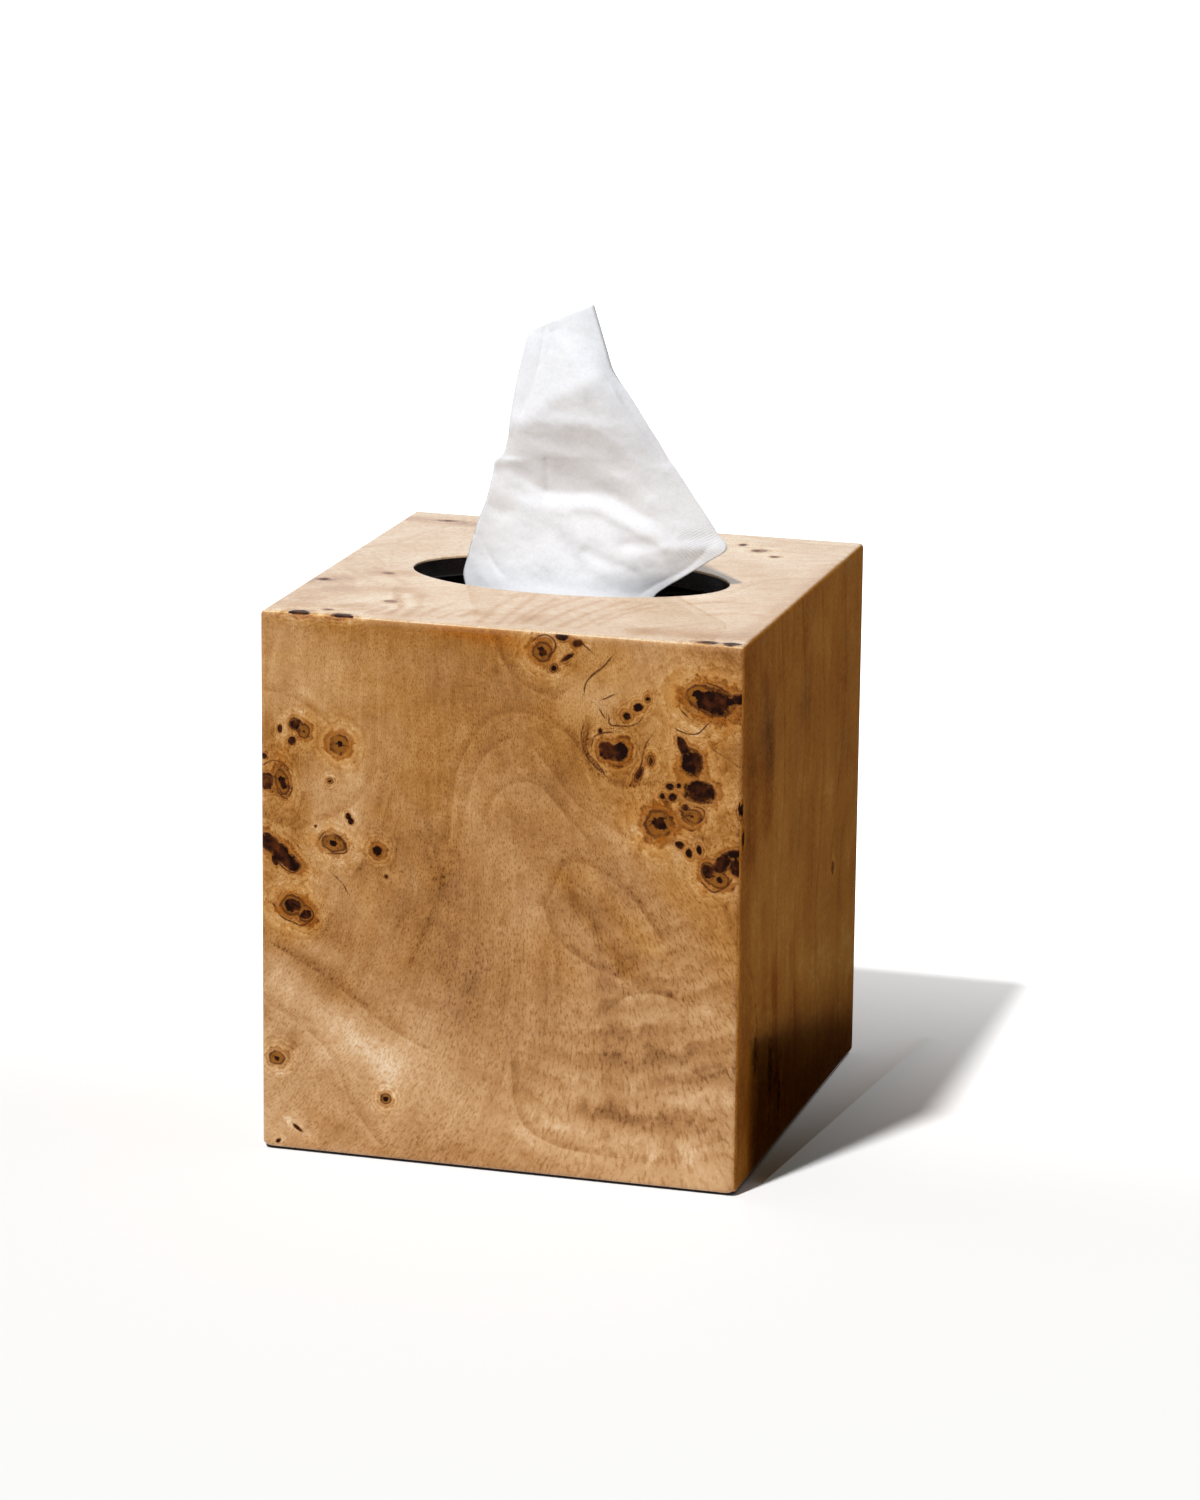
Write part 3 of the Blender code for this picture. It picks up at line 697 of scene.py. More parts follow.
back_knots = (
    (-38, 118, 3.4, 2.8, 15, 0.88, 0.8), (-31, 113, 1.6, 1.9, 0, 0.85, 0.7),
    (-44, 109, 2.6, 2.5, 0, 0.4, 1), (-35, 104, 1.1, 1, 0, 0.9, 0.5),
    (-48, 120, 1.2, 1, 0, 0.9, 0.5), (-26, 121, 1, 1.2, 0, 0.7, 0.6),
    (-52, 100, 1.8, 2.4, 20, 0.92, 0.6), (-43, 96, 1.2, 1.1, 0, 0.6, 0.7),
    (36, 58, 3.2, 2.6, -20, 0.9, 0.8), (43, 52, 2.3, 2.2, 0, 0.42, 1),
    (31, 50, 1.3, 1.1, 0, 0.85, 0.5), (39, 44, 1.6, 2.2, 10, 0.88, 0.6),
    (48, 60, 1, 1.2, 0, 0.8, 0.5), (27, 60, 0.9, 1, 0, 0.7, 0.4), (52, 44, 1.5, 1.3, 0, 0.35, 0.8),
    (-57, 30, 1.9, 2.1, 0, 0.45, 0.8), (-50, 24, 1, 1.1, 0, 0.8, 0.5),
    (8, 134, 1.7, 1.2, 20, 0.6, 0.7), (15, 130, 1, 0.9, 0, 0.85, 0.4),
)
back_strokes = (
    (-20, 140, 20, 138, 5, 0.2, 0.2), (0, 120, 6, 70, 12, -0.22, 0),
    (20, 100, 40, 80, 6, 0.25, 0.1), (-50, 80, -20, 50, 5, -0.28, 0.3),
    (-56, 68, -26, 38, 4, 0.28, 0), (-20, 30, 20, 16, 8, 0.28, -0.2),
    (30, 30, 60, 20, 4, -0.28, 0.2), (10, 12, 58, 6, 5, 0.22, 0),
)
left_knots = (
    (44, 102, 2.8, 3.2, 0, 0.88, 0.8), (37, 96, 2.2, 2.1, 0, 0.42, 1),
    (50, 93, 1.3, 1.6, 0, 0.85, 0.6), (31, 106, 1.1, 1.2, 0, 0.8, 0.5),
    (57, 104, 1.8, 1.6, 0, 0.92, 0.6), (62.5, 84, 1.8, 1.5, 30, 0.96, 0.4),
    (40, 84, 1, 1.1, 0, 0.6, 0.6), (-30, 126, 2.8, 2.3, -15, 0.86, 0.8),
    (-23, 131, 1.5, 1.3, 0, 0.8, 0.6), (-38, 121, 2.2, 2, 0, 0.36, 1),
    (-28, 117, 1, 1.1, 0, 0.8, 0.5), (-47, 40, 2.4, 2, 0, 0.5, 0.9),
    (-40, 34, 1.3, 1.5, 0, 0.88, 0.6), (-53, 33, 1.1, 1, 0, 0.8, 0.5),
    (10, 22, 1.2, 1.3, 0, 0.5, 0.5),
)
left_strokes = (
    (-10, 138, 20, 120, 9, 0.18, 0.2), (0, 100, 8, 50, 13, -0.22, 0),
    (20, 70, 48, 56, 5, 0.26, 0.1), (-50, 90, -20, 66, 5, 0.24, 0.2),
    (-30, 60, 0, 34, 4, -0.3, 0.3), (26, 40, 60, 30, 4, -0.28, 0.1),
    (20, 26, 60, 16, 4, 0.26, -0.1), (-30, 14, 30, 8, 6, 0.22, 0.1),
)

# Thin growth lines, each a smooth run of points in millimetres.
front_lines = (
    ((-13.2, 90.3), (-11.2, 108.3), (-3.8, 121.4), (3.6, 125.4), (11.9, 124.4), (20.9, 118.4),
     (27, 106.4)),
    ((-9.9, 93.3), (-6.8, 107.3), (-1.6, 115.4), (5.8, 118.4), (13.1, 112.4), (21.5, 102.4),
     (35, 94.4)),
    ((-3.1, 97.3), (-0.4, 103.3), (4.9, 106.7), (10.9, 106.4), (18.4, 99.4), (25, 92.4)),
    ((-19.4, 92.3), (-15.4, 78.2), (-18.7, 68.2), (-23.6, 56.2)),
    ((12.9, 74.3), (15.5, 80.3), (17.9, 85.3), (22, 86.8), (29.1, 84.4), (37.5, 77.4), (44, 68.4)),
    ((12.9, 73.3), (15.9, 66.3), (23, 60.8), (29.4, 57.8), (37, 55.9)),
    ((4.2, 30.2), (5.3, 20.2), (8.6, 13.2), (17, 9.2), (31, 7.7)),
    ((-60.3, 56.1), (-45.2, 48.1), (-31.2, 38.1), (-19.1, 32.1)),
    ((-63.3, 41), (-47.2, 30), (-39.2, 14), (-32.2, 5)),
    ((31, 48.3), (35, 51.8), (41, 53.3), (49.1, 52.4)),
    ((-2.2, 145.4), (2.9, 136.4), (9.9, 131.4), (16.9, 130.4)),
    ((23.3, 124.4), (22.9, 116.4), (27, 110), (34, 107.8), (39, 108.9)),
    ((30.5, 127), (32, 123.5), (37, 122.9), (41, 126.5)),
    ((14.9, 129.4), (22.9, 135.5), (31, 140.5)),
    ((48.5, 131.5), (50, 127), (54, 124.5), (57.1, 119.5)),
    ((44, 105.4), (45, 101.4), (39, 94.4), (37, 90.4)),
    ((-65.3, 92.1), (-55.3, 89.2), (-47.3, 92.2), (-39.3, 97.2), (-33.2, 106.2)),
    ((-65.4, 126.2), (-55.3, 124.2), (-46.3, 118.2), (-39.3, 108.2)),
    ((-29.2, 100.2), (-33.2, 88.2), (-39.2, 78.2)),
)
top_lines = (
    ((-66, 12), (-56, 23), (-52, 41), (-40, 66)), ((-10, 66), (10, 53), (40, 47), (66, 45)),
    ((20, 66), (40, 59), (66, 57)), ((-50, -6), (-56, 4), (-66, 8)),
    ((-40, -30), (-36, -44), (-38, -60)), ((46, -9), (52, 10), (66, 18)),
)
right_lines = (
    ((-26.6, 145.7), (-20.6, 99.5), (-26.4, 59.3), (-20.4, 1)),
    ((-5, 145.8), (0.9, 109.7), (-6.8, 59.4), (-0.8, 1.2)),
    ((16.5, 145.9), (22.5, 95.7), (16.7, 49.5), (24.6, 1.4)),
    ((41.9, 146), (45.9, 109.9), (38.1, 79.7), (32.3, 65.7)),
    ((53.7, 83.8), (45.9, 69.8), (42.1, 39.6), (48, 1.6)),
    ((-55.8, 59.1), (-47.9, 49.1), (-42, 19), (-45.9, 0.8)),
)
back_lines = (
    ((-10, 66), (-6, 84), (2, 96), (10, 90), (16, 70)),
    ((-18, 60), (-12, 92), (2, 108), (16, 100), (26, 76)),
    ((-62, 84), (-44, 78), (-24, 56), (-14, 30)), ((-60, 66), (-40, 56), (-26, 36), (-22, 6)),
    ((20, 110), (34, 96), (60, 90)), ((12, 122), (30, 112), (62, 108)),
    ((0, 6), (6, 26), (20, 34), (60, 30)),
)
left_lines = (
    ((-4, 66), (2, 88), (10, 98), (20, 92), (24, 76)), ((-12, 60), (-6, 96), (10, 110), (26, 106)),
    ((-62, 96), (-46, 84), (-22, 80), (-10, 60)), ((-60, 66), (-36, 60), (-20, 40), (-12, 4)),
    ((14, 54), (30, 52), (46, 62), (62, 60)), ((10, 14), (26, 24), (62, 22)),
)

# Thin dark hairlines: bark seams that curl round the knots, and small checks.
front_hairlines = (
    ((22.9, 123.2), (22.3, 120.8), (22.8, 117.6), (24, 114.8), (26, 112.6), (28.2, 110.9)),
    ((24.1, 121.4), (23.5, 118.6), (24.4, 115.8), (26.7, 113.4), (28.4, 111.2)),
    ((25.1, 118.2), (25.8, 120.5), (27.8, 121.5), (30.4, 122)),
    ((33.5, 121.6), (36.1, 120.4), (37.2, 117.9), (36.2, 115.1), (34.1, 113.2), (31.5, 112.5)),
    ((29.7, 126), (29.8, 124.2), (31.6, 123.8), (35.4, 124.1), (37.7, 125.4), (38.9, 127.4)),
    ((41.3, 122.4), (39.7, 119.9), (38.8, 117), (38.3, 113.6), (36.9, 110.9)),
    ((22.9, 132.3), (23.8, 135.2), (27.1, 138.2), (30, 141.5)), ((28.2, 130.6), (31, 132)),
    ((24.5, 136.2), (26.8, 138.2)), ((9, 147), (8.4, 145.1)), ((21.8, 145.3), (24.2, 143.2)),
    ((9.2, 144.5), (10.9, 145.9), (13.2, 146.2), (15.1, 144.4), (14.8, 142.2), (13.3, 140.5)),
    ((48.4, 133.1), (48.2, 130.5), (49, 129), (50.4, 127.8)), ((45.3, 136.6), (46.8, 137.1)),
    ((55.6, 125.9), (53.3, 123.5), (50.5, 123.2), (47.6, 124.1)), ((27.3, 127.4), (28.2, 126)),
    ((55.7, 136.9), (58.3, 136.2), (60.3, 135.1)), ((57.2, 119.7), (60.5, 117.8), (63.8, 115.8)),
    ((48.8, 102.9), (50.3, 101), (52.7, 99.7), (54.8, 100.9), (55.2, 103.3), (53.1, 104.1)),
    ((54.9, 84.2), (57.8, 81.9), (60.8, 83.1), (62.6, 85.5)),
    ((-58.9, 106), (-60.5, 103.6), (-60.7, 100.5), (-59.6, 97.9), (-58, 96.9)),
    ((-59.3, 103.7), (-58.2, 103.4), (-58, 102.5)), ((-56.7, 85.9), (-54.6, 84.3)),
    ((-58.2, 100.7), (-56.8, 99.9), (-56.2, 99.5), (-57.3, 97.6)),
    ((-64.1, 105.6), (-61.8, 106.9), (-59.5, 106.6), (-57, 105)),
    ((-48.9, 86.5), (-46.8, 88.9), (-43.7, 88), (-41.4, 85.3), (-41.8, 83.5), (-45.9, 83.1)),
    ((-59.7, 78.9), (-57.9, 77.5), (-55.6, 77), (-54, 78.9)),
    ((-61.6, 67.9), (-59.3, 64.7), (-56.1, 63.4), (-53.3, 62.7), (-51, 64.8)),
    ((-44.1, 76.7), (-42.3, 75.1), (-41.3, 73.4)),
)
back_hairlines = (
    ((-43, 122), (-39, 123.5), (-34, 121.5), (-32, 117)), ((-48, 112), (-46, 105), (-41, 104.5)),
    ((-30, 108.5), (-27.5, 112), (-28.5, 116)), ((-55, 96), (-55.5, 102), (-52, 105)),
    ((31, 61), (35, 63), (40.5, 61), (42, 57)), ((46.5, 55), (47, 50), (43.5, 47.5)),
    ((35, 47), (36, 41), (40, 39.5)), ((-60.5, 33), (-57, 34.5), (-53.5, 32.5)),
)
left_hairlines = (
    ((40, 107), (44.5, 108.5), (49, 106), (50, 101)), ((33.5, 99), (36, 101), (40.5, 99)),
    ((47, 90), (50, 89), (53, 91.5)), ((-35, 129), (-30, 131), (-25, 128)),
    ((-42, 123), (-41, 117), (-36, 116)), ((-51, 43), (-47, 44.5), (-43, 42.5)),
    ((-38, 30), (-35.5, 34), (-38, 38)), ((54, 106), (58, 108.5), (62, 106)),
)

# Where the figure is curly, in millimetres: across, up, reach, strength of the ripples.
front_curls = ((50, 40, 24, 0.9), (36, 20, 20, 0.8), (34, 72, 12, 0.35), (5, 12, 16, 0.35))
right_curls = ((20, 40, 24, 0.3), (-40, 40, 16, 0.3))
back_curls = ((40, 30, 22, 0.8), (-30, 70, 20, 0.3))
left_curls = ((40, 30, 22, 0.7), (-40, 20, 16, 0.5))
top_curls = ((15, -42, 20, 0.3),)

knot_blend = 7.0
knot_far = 12.0
line_far = 50.0
flow_reach = 65.0
flow_push, flow_soft = 1.35, 0.9
leaf_sharp = math.radians(40.0)
leaf_offset, top_offset = 170.0, 900.0


def knot_values(spot, knots):
    """Distance to the nearest knot in knot sizes, its dark share and its glow."""
    blend = np.zeros(len(spot))
    weights, dark, glow = np.zeros((3, len(spot)))
    for x, y, wide, tall, turn, core, halo in knots:
        turn = math.radians(turn)
        dx, dy = spot[:, 0] - x, spot[:, 1] - y
        reach = np.hypot((dx * math.cos(turn) + dy * math.sin(turn)) / wide,
                         (dy * math.cos(turn) - dx * math.sin(turn)) / tall)
        blend += np.exp(-knot_blend * np.minimum(reach, knot_far))
        weight = 1.0 / (0.04 + reach) ** 5
        weights += weight
        dark += weight * core
        glow += weight * halo
    return np.stack((-np.log(blend) / knot_blend, dark / weights, glow / weights), 1)


def fibre_flow(spot, knots, turn, bend):
    """Coordinates across and along fibres that part round each knot like a slow stream."""
    place = spot[:, 0] + 1j * spot[:, 1]
    heading = np.exp(1j * math.radians(turn))
    flow = place / heading + flow_reach * bend * (place / flow_reach) ** 2
    for x, y, wide, tall, *_ in knots:
        away = place - (x + 1j * y)
        radius = flow_push * math.sqrt(wide * tall)
        flow += (radius ** 2 * heading * np.conj(away)
                 / (np.abs(away) ** 2 + (flow_soft * radius) ** 2))
    return -flow.imag, flow.real


def spline_point(a, b, c, d, t):
    """A Catmull-Rom curve from b to c, whose neighbours are a and d, at t from 0 to 1."""
    return 0.5 * (2 * b + (c - a) * t + (2 * a - 5 * b + 4 * c - d) * t ** 2
                  + (3 * b - a - 3 * c + d) * t ** 3)


def smooth_run(points, steps=8):
    """A smooth curve through the points."""
    p = np.array([points[0], *points, points[-1]], float)
    t = np.linspace(0, 1, steps, endpoint=False)[:, None]
    runs = [spline_point(*four, t) for four in zip(p, p[1:], p[2:], p[3:])]
    return np.vstack(runs + [p[-1:]])


def line_distance(spot, lines):
    """Signed distance to the nearest of some curves, positive on their left."""
    best = np.full(len(spot), line_far)
    for points in lines:
        run = smooth_run(points)
        for a, b in zip(run, run[1:]):
            step = b - a
            t = np.clip((spot - a) @ step / (step @ step), 0, 1)
            gap = spot - (a + t[:, None] * step)
            side = np.where(step[0] * gap[:, 1] - step[1] * gap[:, 0] < 0, -1.0, 1.0)
            distance = side * np.hypot(gap[:, 0], gap[:, 1])
            best = np.where(np.abs(distance) < np.abs(best), distance, best)
    return best


def tone_values(spot, strokes, curls):
    """Lightness, warmth and strength of the curl, from broad soft strokes."""
    tone = np.zeros((len(spot), 3))
    for x0, y0, x1, y1, width, light, warm in strokes:
        a, step = np.array((x0, y0)), np.array((x1 - x0, y1 - y0), float)
        t = np.clip((spot - a) @ step / (step @ step), 0, 1)
        gap = np.linalg.norm(spot - (a + t[:, None] * step), axis=1)
        fall = np.exp(-(gap / width) ** 2)
        tone[:, 0] += light * fall
        tone[:, 1] += warm * fall
    for x, y, width, strength in curls:
        gap = np.hypot(spot[:, 0] - x, spot[:, 1] - y)
        tone[:, 2] += strength * np.exp(-(gap / width) ** 2)
    tone[:, 2] = np.clip(tone[:, 2], 0, 2)
    return tone


def store(piece, name, rows):
    """Keeps three values for each point of a piece, for its material."""
    layer = piece.data.attributes.new(name, "FLOAT_VECTOR", "POINT")
    layer.data.foreach_set("vector", rows.astype(np.float32).ravel())


def paint_leaf(piece, spot, offset, middle, knots, strokes, lines, hairlines, curls, turn, bend):
    """Stores grain, knots, tones and hairlines, from places in mm on the flat leaf. The grain
    runs at turn degrees and bends away from the leaf's middle height."""
    flow_knots = [(x, y - middle, *rest) for x, y, *rest in knots]
    level = spot - np.array((0.0, middle))
    across, along = fibre_flow(level, flow_knots, turn, bend)
    values = {
        "grain": np.stack((across + offset, along + offset, line_distance(spot, lines)), 1),
        "knot": knot_values(spot, knots),
        "tone": tone_values(spot, strokes, curls),
        "mark": np.stack([line_distance(spot, hairlines)] * 3, 1),
    }
    for name, rows in values.items():
        store(piece, name, rows)


def wrap(a, b, limit_a, low_b, high_b, out):
    """Points of the rounded box over arc lengths a and b, in the leaf's own directions."""
    flat_a, flat_b = np.clip(a, -limit_a, limit_a), np.clip(b, low_b, high_b)
    turn_a, turn_b = (a - flat_a) / edge_round, (b - flat_b) / edge_round
    normal = np.stack((np.tan(turn_a), np.tan(turn_b), np.ones(len(a))), 1)
    normal /= np.linalg.norm(normal, axis=1)[:, None]
    point = np.stack((flat_a, flat_b, np.full(len(a), out - edge_round)), 1) + edge_round * normal
    inset = edge_round - leaf_thickness
    inner_a = flat_a + inset * turn_a / mitre_turn
    inner_b = np.where(turn_b > 0, flat_b + inset * turn_b / mitre_turn,
                       flat_b + edge_round * np.sin(turn_b))
    inner = np.stack((inner_a, inner_b, np.full(len(a), out - leaf_thickness)), 1)
    return point, inner


def edge_samples(low, high, grid, turn_low, turn_high):
    """Arc-length samples of a straight run with a rounded edge at each end."""
    count = round((high - low) / grid)
    flat = np.linspace(low, high, count + 1)
    arcs = np.array(arc_shares) * edge_round
    return np.concatenate((low - turn_low * arcs[::-1], flat, high + turn_high * arcs))


def closed_leaf(name, points, faces, rim, rim_inner, axes, material):
    """Adds the inner face and the mitred rims, and turns the leaf to its side of the box."""
    count = len(points)
    around = len(rim)
    points = worn(np.vstack((points, rim_inner)) @ np.array(axes))
    faces += [(rim[i], count + i, count + (i + 1) % around, rim[(i + 1) % around])
              for i in range(around)]
    faces.append(tuple(range(count + around - 1, count - 1, -1)))
    piece = add_piece(name, points, faces, material)
    piece.data.set_sharp_from_angle(angle=leaf_sharp)
    return piece


def wall_leaf(name, right, out, offset, material, grid, **figure):
    """One side leaf. right and out are the viewer's right and the outward direction."""
    flat = half - edge_round
    a = edge_samples(-flat, flat, grid, mitre_turn, mitre_turn)
    low, high = wall_foot + edge_round, cover_height - edge_round
    b = edge_samples(low, high, grid, foot_turn, mitre_turn)
    columns, rows = len(a), len(b)
    grid_a, grid_b = (grown.ravel() for grown in np.meshgrid(a, b))
    point, inner = wrap(grid_a, grid_b, flat, low, high, half)
    faces = [(r * columns + c, r * columns + c + 1, (r + 1) * columns + c + 1,
              (r + 1) * columns + c) for r in range(rows - 1) for c in range(columns - 1)]
    rim = ([*range(columns)] + [r * columns + columns - 1 for r in range(1, rows)]
           + [(rows - 1) * columns + c for c in range(columns - 2, -1, -1)]
           + [r * columns for r in range(rows - 2, 0, -1)])
    piece = closed_leaf(name, point, faces, rim, inner[rim], (right, (0, 0, 1), out), material)
    spot = np.stack((grid_a, grid_b), 1) / mm
    paint_leaf(piece, np.vstack((spot, spot[rim])), offset, cover_height / mm / 2, **figure)
    return piece


burl = burl_veneer()
figures = {
    "front": dict(grid=leaf_grid, knots=front_knots, strokes=front_strokes, lines=front_lines,
                  hairlines=front_hairlines, curls=front_curls, turn=88, bend=-0.22 + 0.12j),
    "right": dict(grid=hidden_grid, knots=right_knots, strokes=right_strokes, lines=right_lines,
                  hairlines=(), curls=right_curls, turn=90, bend=0.05 + 0.0j),
    "back": dict(grid=hidden_grid, knots=back_knots, strokes=back_strokes, lines=back_lines,
                 hairlines=back_hairlines, curls=back_curls, turn=92, bend=0.15 + 0.12j),
    "left": dict(grid=hidden_grid, knots=left_knots, strokes=left_strokes, lines=left_lines,
                 hairlines=left_hairlines, curls=left_curls, turn=86, bend=-0.15 + 0.10j),
}
for step, (side, figure) in enumerate(figures.items()):
    leaf = wall_leaf(side + "_burl_leaf", *directions[side], leaf_offset * step, burl, **figure)
    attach(leaf, "cover")
    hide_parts(side + "_veneer")

# Top leaf. It is sawn with the top panel's oval opening, whose lip is only just broken,
# so a thin amber line of veneer shows above the dark wall.
lip_round = 0.0003
lip_steps = 4
top_rings = 74
edge_rings = 11
edge_band = 0.0016


def top_leaf(material):
    """Rings run from the opening's lip out to the mitred edge, square by then."""
    flat = half - edge_round
    side = edge_samples(-flat, flat, top_grid, mitre_turn, mitre_turn)[:-1]
    reach = np.full(len(side), flat + edge_round * mitre_turn)
    square = np.vstack((np.stack((side, -reach), 1), np.stack((reach, side), 1),
                        np.stack((-side, reach), 1), np.stack((-reach, -side), 1)))
    around = len(square)
    radii = np.array((opening_half_length, opening_half_width))
    oval = square / np.linalg.norm(square / radii, axis=1)[:, None]
    outward = oval / radii ** 2
    outward /= np.linalg.norm(outward, axis=1)[:, None]
    rings, spots = [], []
    turns = np.linspace(0, math.pi / 2, lip_steps + 1)
    heights = [(0.0, cover_height - leaf_thickness)]
    heights += [(lip_round * (1 - math.cos(t)), cover_height - lip_round * (1 - math.sin(t)))
                for t in turns]
    for reach_out, z in heights:
        plan = oval + outward * reach_out
        rings.append(np.column_stack((plan, np.full(around, z))))
        spots.append(plan)
    start = oval + outward * lip_round
    span = np.linalg.norm(square - start, axis=1).min()
    band = edge_band / span
    shares = np.concatenate((np.linspace(0, 1 - band, top_rings + 1)[1:],
                             np.linspace(1 - band, 1, edge_rings + 1)[1:]))
    for share in shares:
        plan = start + (square - start) * share
        point, under = wrap(plan[:, 0], plan[:, 1], flat, -flat, flat, cover_height)
        rings.append(point)
        spots.append(plan)
    rings.append(under)
    spots.append(square)
    points, spot = np.vstack(rings), np.vstack(spots)
    faces = ring_faces(len(rings), around, True, (3, 2, 1, 0))
    piece = add_piece("top_burl_leaf", points.tolist(), faces, material)
    piece.data.set_sharp_from_angle(angle=leaf_sharp)
    paint_leaf(piece, spot / mm, top_offset, 0.0, knots=top_knots, strokes=top_strokes,
               lines=top_lines, hairlines=(), curls=top_curls, turn=28, bend=0.15 - 0.05j)
    return piece


leaf = top_leaf(burl)
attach(leaf, "cover")
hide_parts("top_veneer")

# Felt. Strips of thin black wool felt are glued under the four walls, so that the cover
# doesn't scratch the shelf. Their upper face is glued, and their edges are slightly fluffy.
felt_black, felt_grey = (0.010, 0.009, 0.009), (0.050, 0.046, 0.045)
felt_step = 0.0008
felt_bulge = 0.45
felt_ruffle = 0.00009
felt_lift = 0.3
felt_sides = 12


def wool_felt():
    material, tree, shader = surface("wool_felt")
    place = in_mm(tree)
    hairs = noise(tree, place, 3.0, 4.0, 0.7, 1.5)
    lumps = noise(tree, place, 0.6, 3.0)
    shade = between(tree, added(tree, (hairs, 1.0), (lumps, 0.6)), -0.2, 0.4)
    feed(tree, shader, {"Base Color": blended(tree, shade, tint(felt_black), tint(felt_grey)),
                        "Roughness": added(tree, (hairs, 0.1), (0.92, 1.0)),
                        "Specular IOR Level": 0.1, "Sheen Weight": 0.25,
                        "Sheen Roughness": 0.6})
    bump(tree, shader, added(tree, (hairs, 1.0), (lumps, 0.5)), 0.8, 0.0002)
    return material


def felt_strip(name, node, right, out, material, seed):
    """A flat strip with pillowed edges, mitred at its ends and ruffled like cut felt."""
    low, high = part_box(node)
    right, out = Vector(right), Vector(out)
    inner, outer = sorted((abs(low.dot(out)), abs(high.dot(out))))
    thickness = high.z - low.z
    centre, reach = (outer + inner) / 2, (outer - inner) / 2
    section = []
    for step in range(felt_sides):
        turn = 2 * math.pi * step / felt_sides
        across, up = math.cos(turn), math.sin(turn)
        across = math.copysign(abs(across) ** felt_bulge, across)
        up = math.copysign(abs(up) ** felt_bulge, up)
        section.append((centre + across * reach, low.z + thickness / 2 * (1 + up)))
    count = round(2 * outer / felt_step)
    random = np.random.default_rng(seed)
    points = []
    for row in range(count + 1):
        for depth, z in section:
            inside = min(depth, outer - felt_ruffle)
            ruffled = inside + random.uniform(-1, 0) * felt_ruffle
            level = z + random.uniform(-felt_lift, felt_lift) * felt_ruffle
            level = min(max(level, low.z), high.z)
            along = (2 * row / count - 1) * (ruffled - felt_ruffle)
            points.append(along * right + ruffled * out + Vector((0, 0, level)))
    faces = ring_faces(count + 1, felt_sides, order=(0, 3, 2, 1))
    faces += [tuple(range(felt_sides)),
              tuple(range(len(points) - 1, len(points) - felt_sides - 1, -1))]
    piece = add_piece(name, worn(points), faces, material)
    face_out(piece)
    return piece


def face_out(piece):
    """Turns a closed mesh's faces outwards."""
    shape = bmesh.new()
    shape.from_mesh(piece.data)
    bmesh.ops.recalc_face_normals(shape, faces=shape.faces)
    shape.to_mesh(piece.data)
    shape.free()


felt = wool_felt()
for step, (side, (right, out)) in enumerate(directions.items()):
    strip = felt_strip(side + "_felt_strip", side + "_felt", right, out, felt, step)
    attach(strip, "cover")
    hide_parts(side + "_felt")

# Refill carton. A cube of thin white-coated board, creased round and glued. An oval window
# is torn out of its top along a perforation.
carton_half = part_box("carton_top")[1][0]
carton_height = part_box("carton_top")[1][2]
board_skin = 0.00045
crease_round = 0.0009
crease_steps = 5
crease_fold = 0.92
panel_step = 0.0035
plan_step = panel_step / 2.6
panel_bow = 0.0003
sleeve_foot = 0.0009
sleeve_shares = (0.12, 0.25, 0.4, 0.55, 0.7, 0.82, 0.92, 0.97, 1.0)
window_half_length = 0.0495
window_half_width = 0.0290
flap_bevel = 0.35
coated_white, board_grey = (0.80, 0.79, 0.77), (0.52, 0.47, 0.40)
wash_blue = (0.66, 0.72, 0.75)


def coated_board():
    """White clay coat over grey board, with a pale wash of colour round the foot."""
    material, tree, shader = surface("carton_board")
    place = in_mm(tree)
    pulp, tooth = noise(tree, place, 0.5, 4.0, 0.6), noise(tree, place, 5.0, 2.0)
    height = split_up(tree, place)[2]
    wave = noise(tree, scaled(tree, place, 0.03, 0.03, 0.0), 1.0, 2.0)
    wash = between(tree, added(tree, (height, 1.0), (wave, 34.0)), 62.0, 50.0, 0.0, 0.85)
    colour = blended(tree, wash, tint(coated_white), tint(wash_blue))
    shade = between(tree, added(tree, (pulp, 1.0), (tooth, 0.4)), -0.4, 0.4, 0.94, 1.03)
    colour = blended(tree, 1.0, colour, shade, "MULTIPLY")
    feed(tree, shader, {"Base Color": colour,
                        "Roughness": added(tree, (pulp, 0.2), (0.48, 1.0))})
    bump(tree, shader, added(tree, (pulp, 1.0), (tooth, 0.3)), 0.35, 0.00012)
    return material


def raw_board():
    """The grey pulp inside the carton and on its torn edge."""
    material, tree, shader = surface("raw_board")
    place = in_mm(tree)
    pulp = noise(tree, place, 1.6, 4.0, 0.7)
    shade = between(tree, pulp, -0.3, 0.3, 0.78, 1.12)
    colour = blended(tree, 1.0, tint(board_grey), shade, "MULTIPLY")
    feed(tree, shader, {"Base Color": colour, "Roughness": 0.9})
    bump(tree, shader, pulp, 0.6, 0.0002)
    return material


def rounded_square(reach, radius, step, corner_steps):
    """Plan of a square with rounded corners, as points with their outward directions."""
    run = reach - radius
    count = round(2 * run / step)
    plan = []
    for quarter in range(4):
        turn = quarter * math.pi / 2
        cos, sin = round(math.cos(turn)), round(math.sin(turn))
        local = [(-run + 2 * run * k / count, -reach, 0.0, -1.0) for k in range(count + 1)]
        local += [(run + radius * math.sin(a), -run - radius * math.cos(a), math.sin(a),
                   -math.cos(a)) for a in
                  (math.pi / 2 * k / corner_steps for k in range(1, corner_steps))]
        plan += [(x * cos - y * sin, x * sin + y * cos, u * cos - v * sin, u * sin + v * cos)
                 for x, y, u, v in local]
    return plan


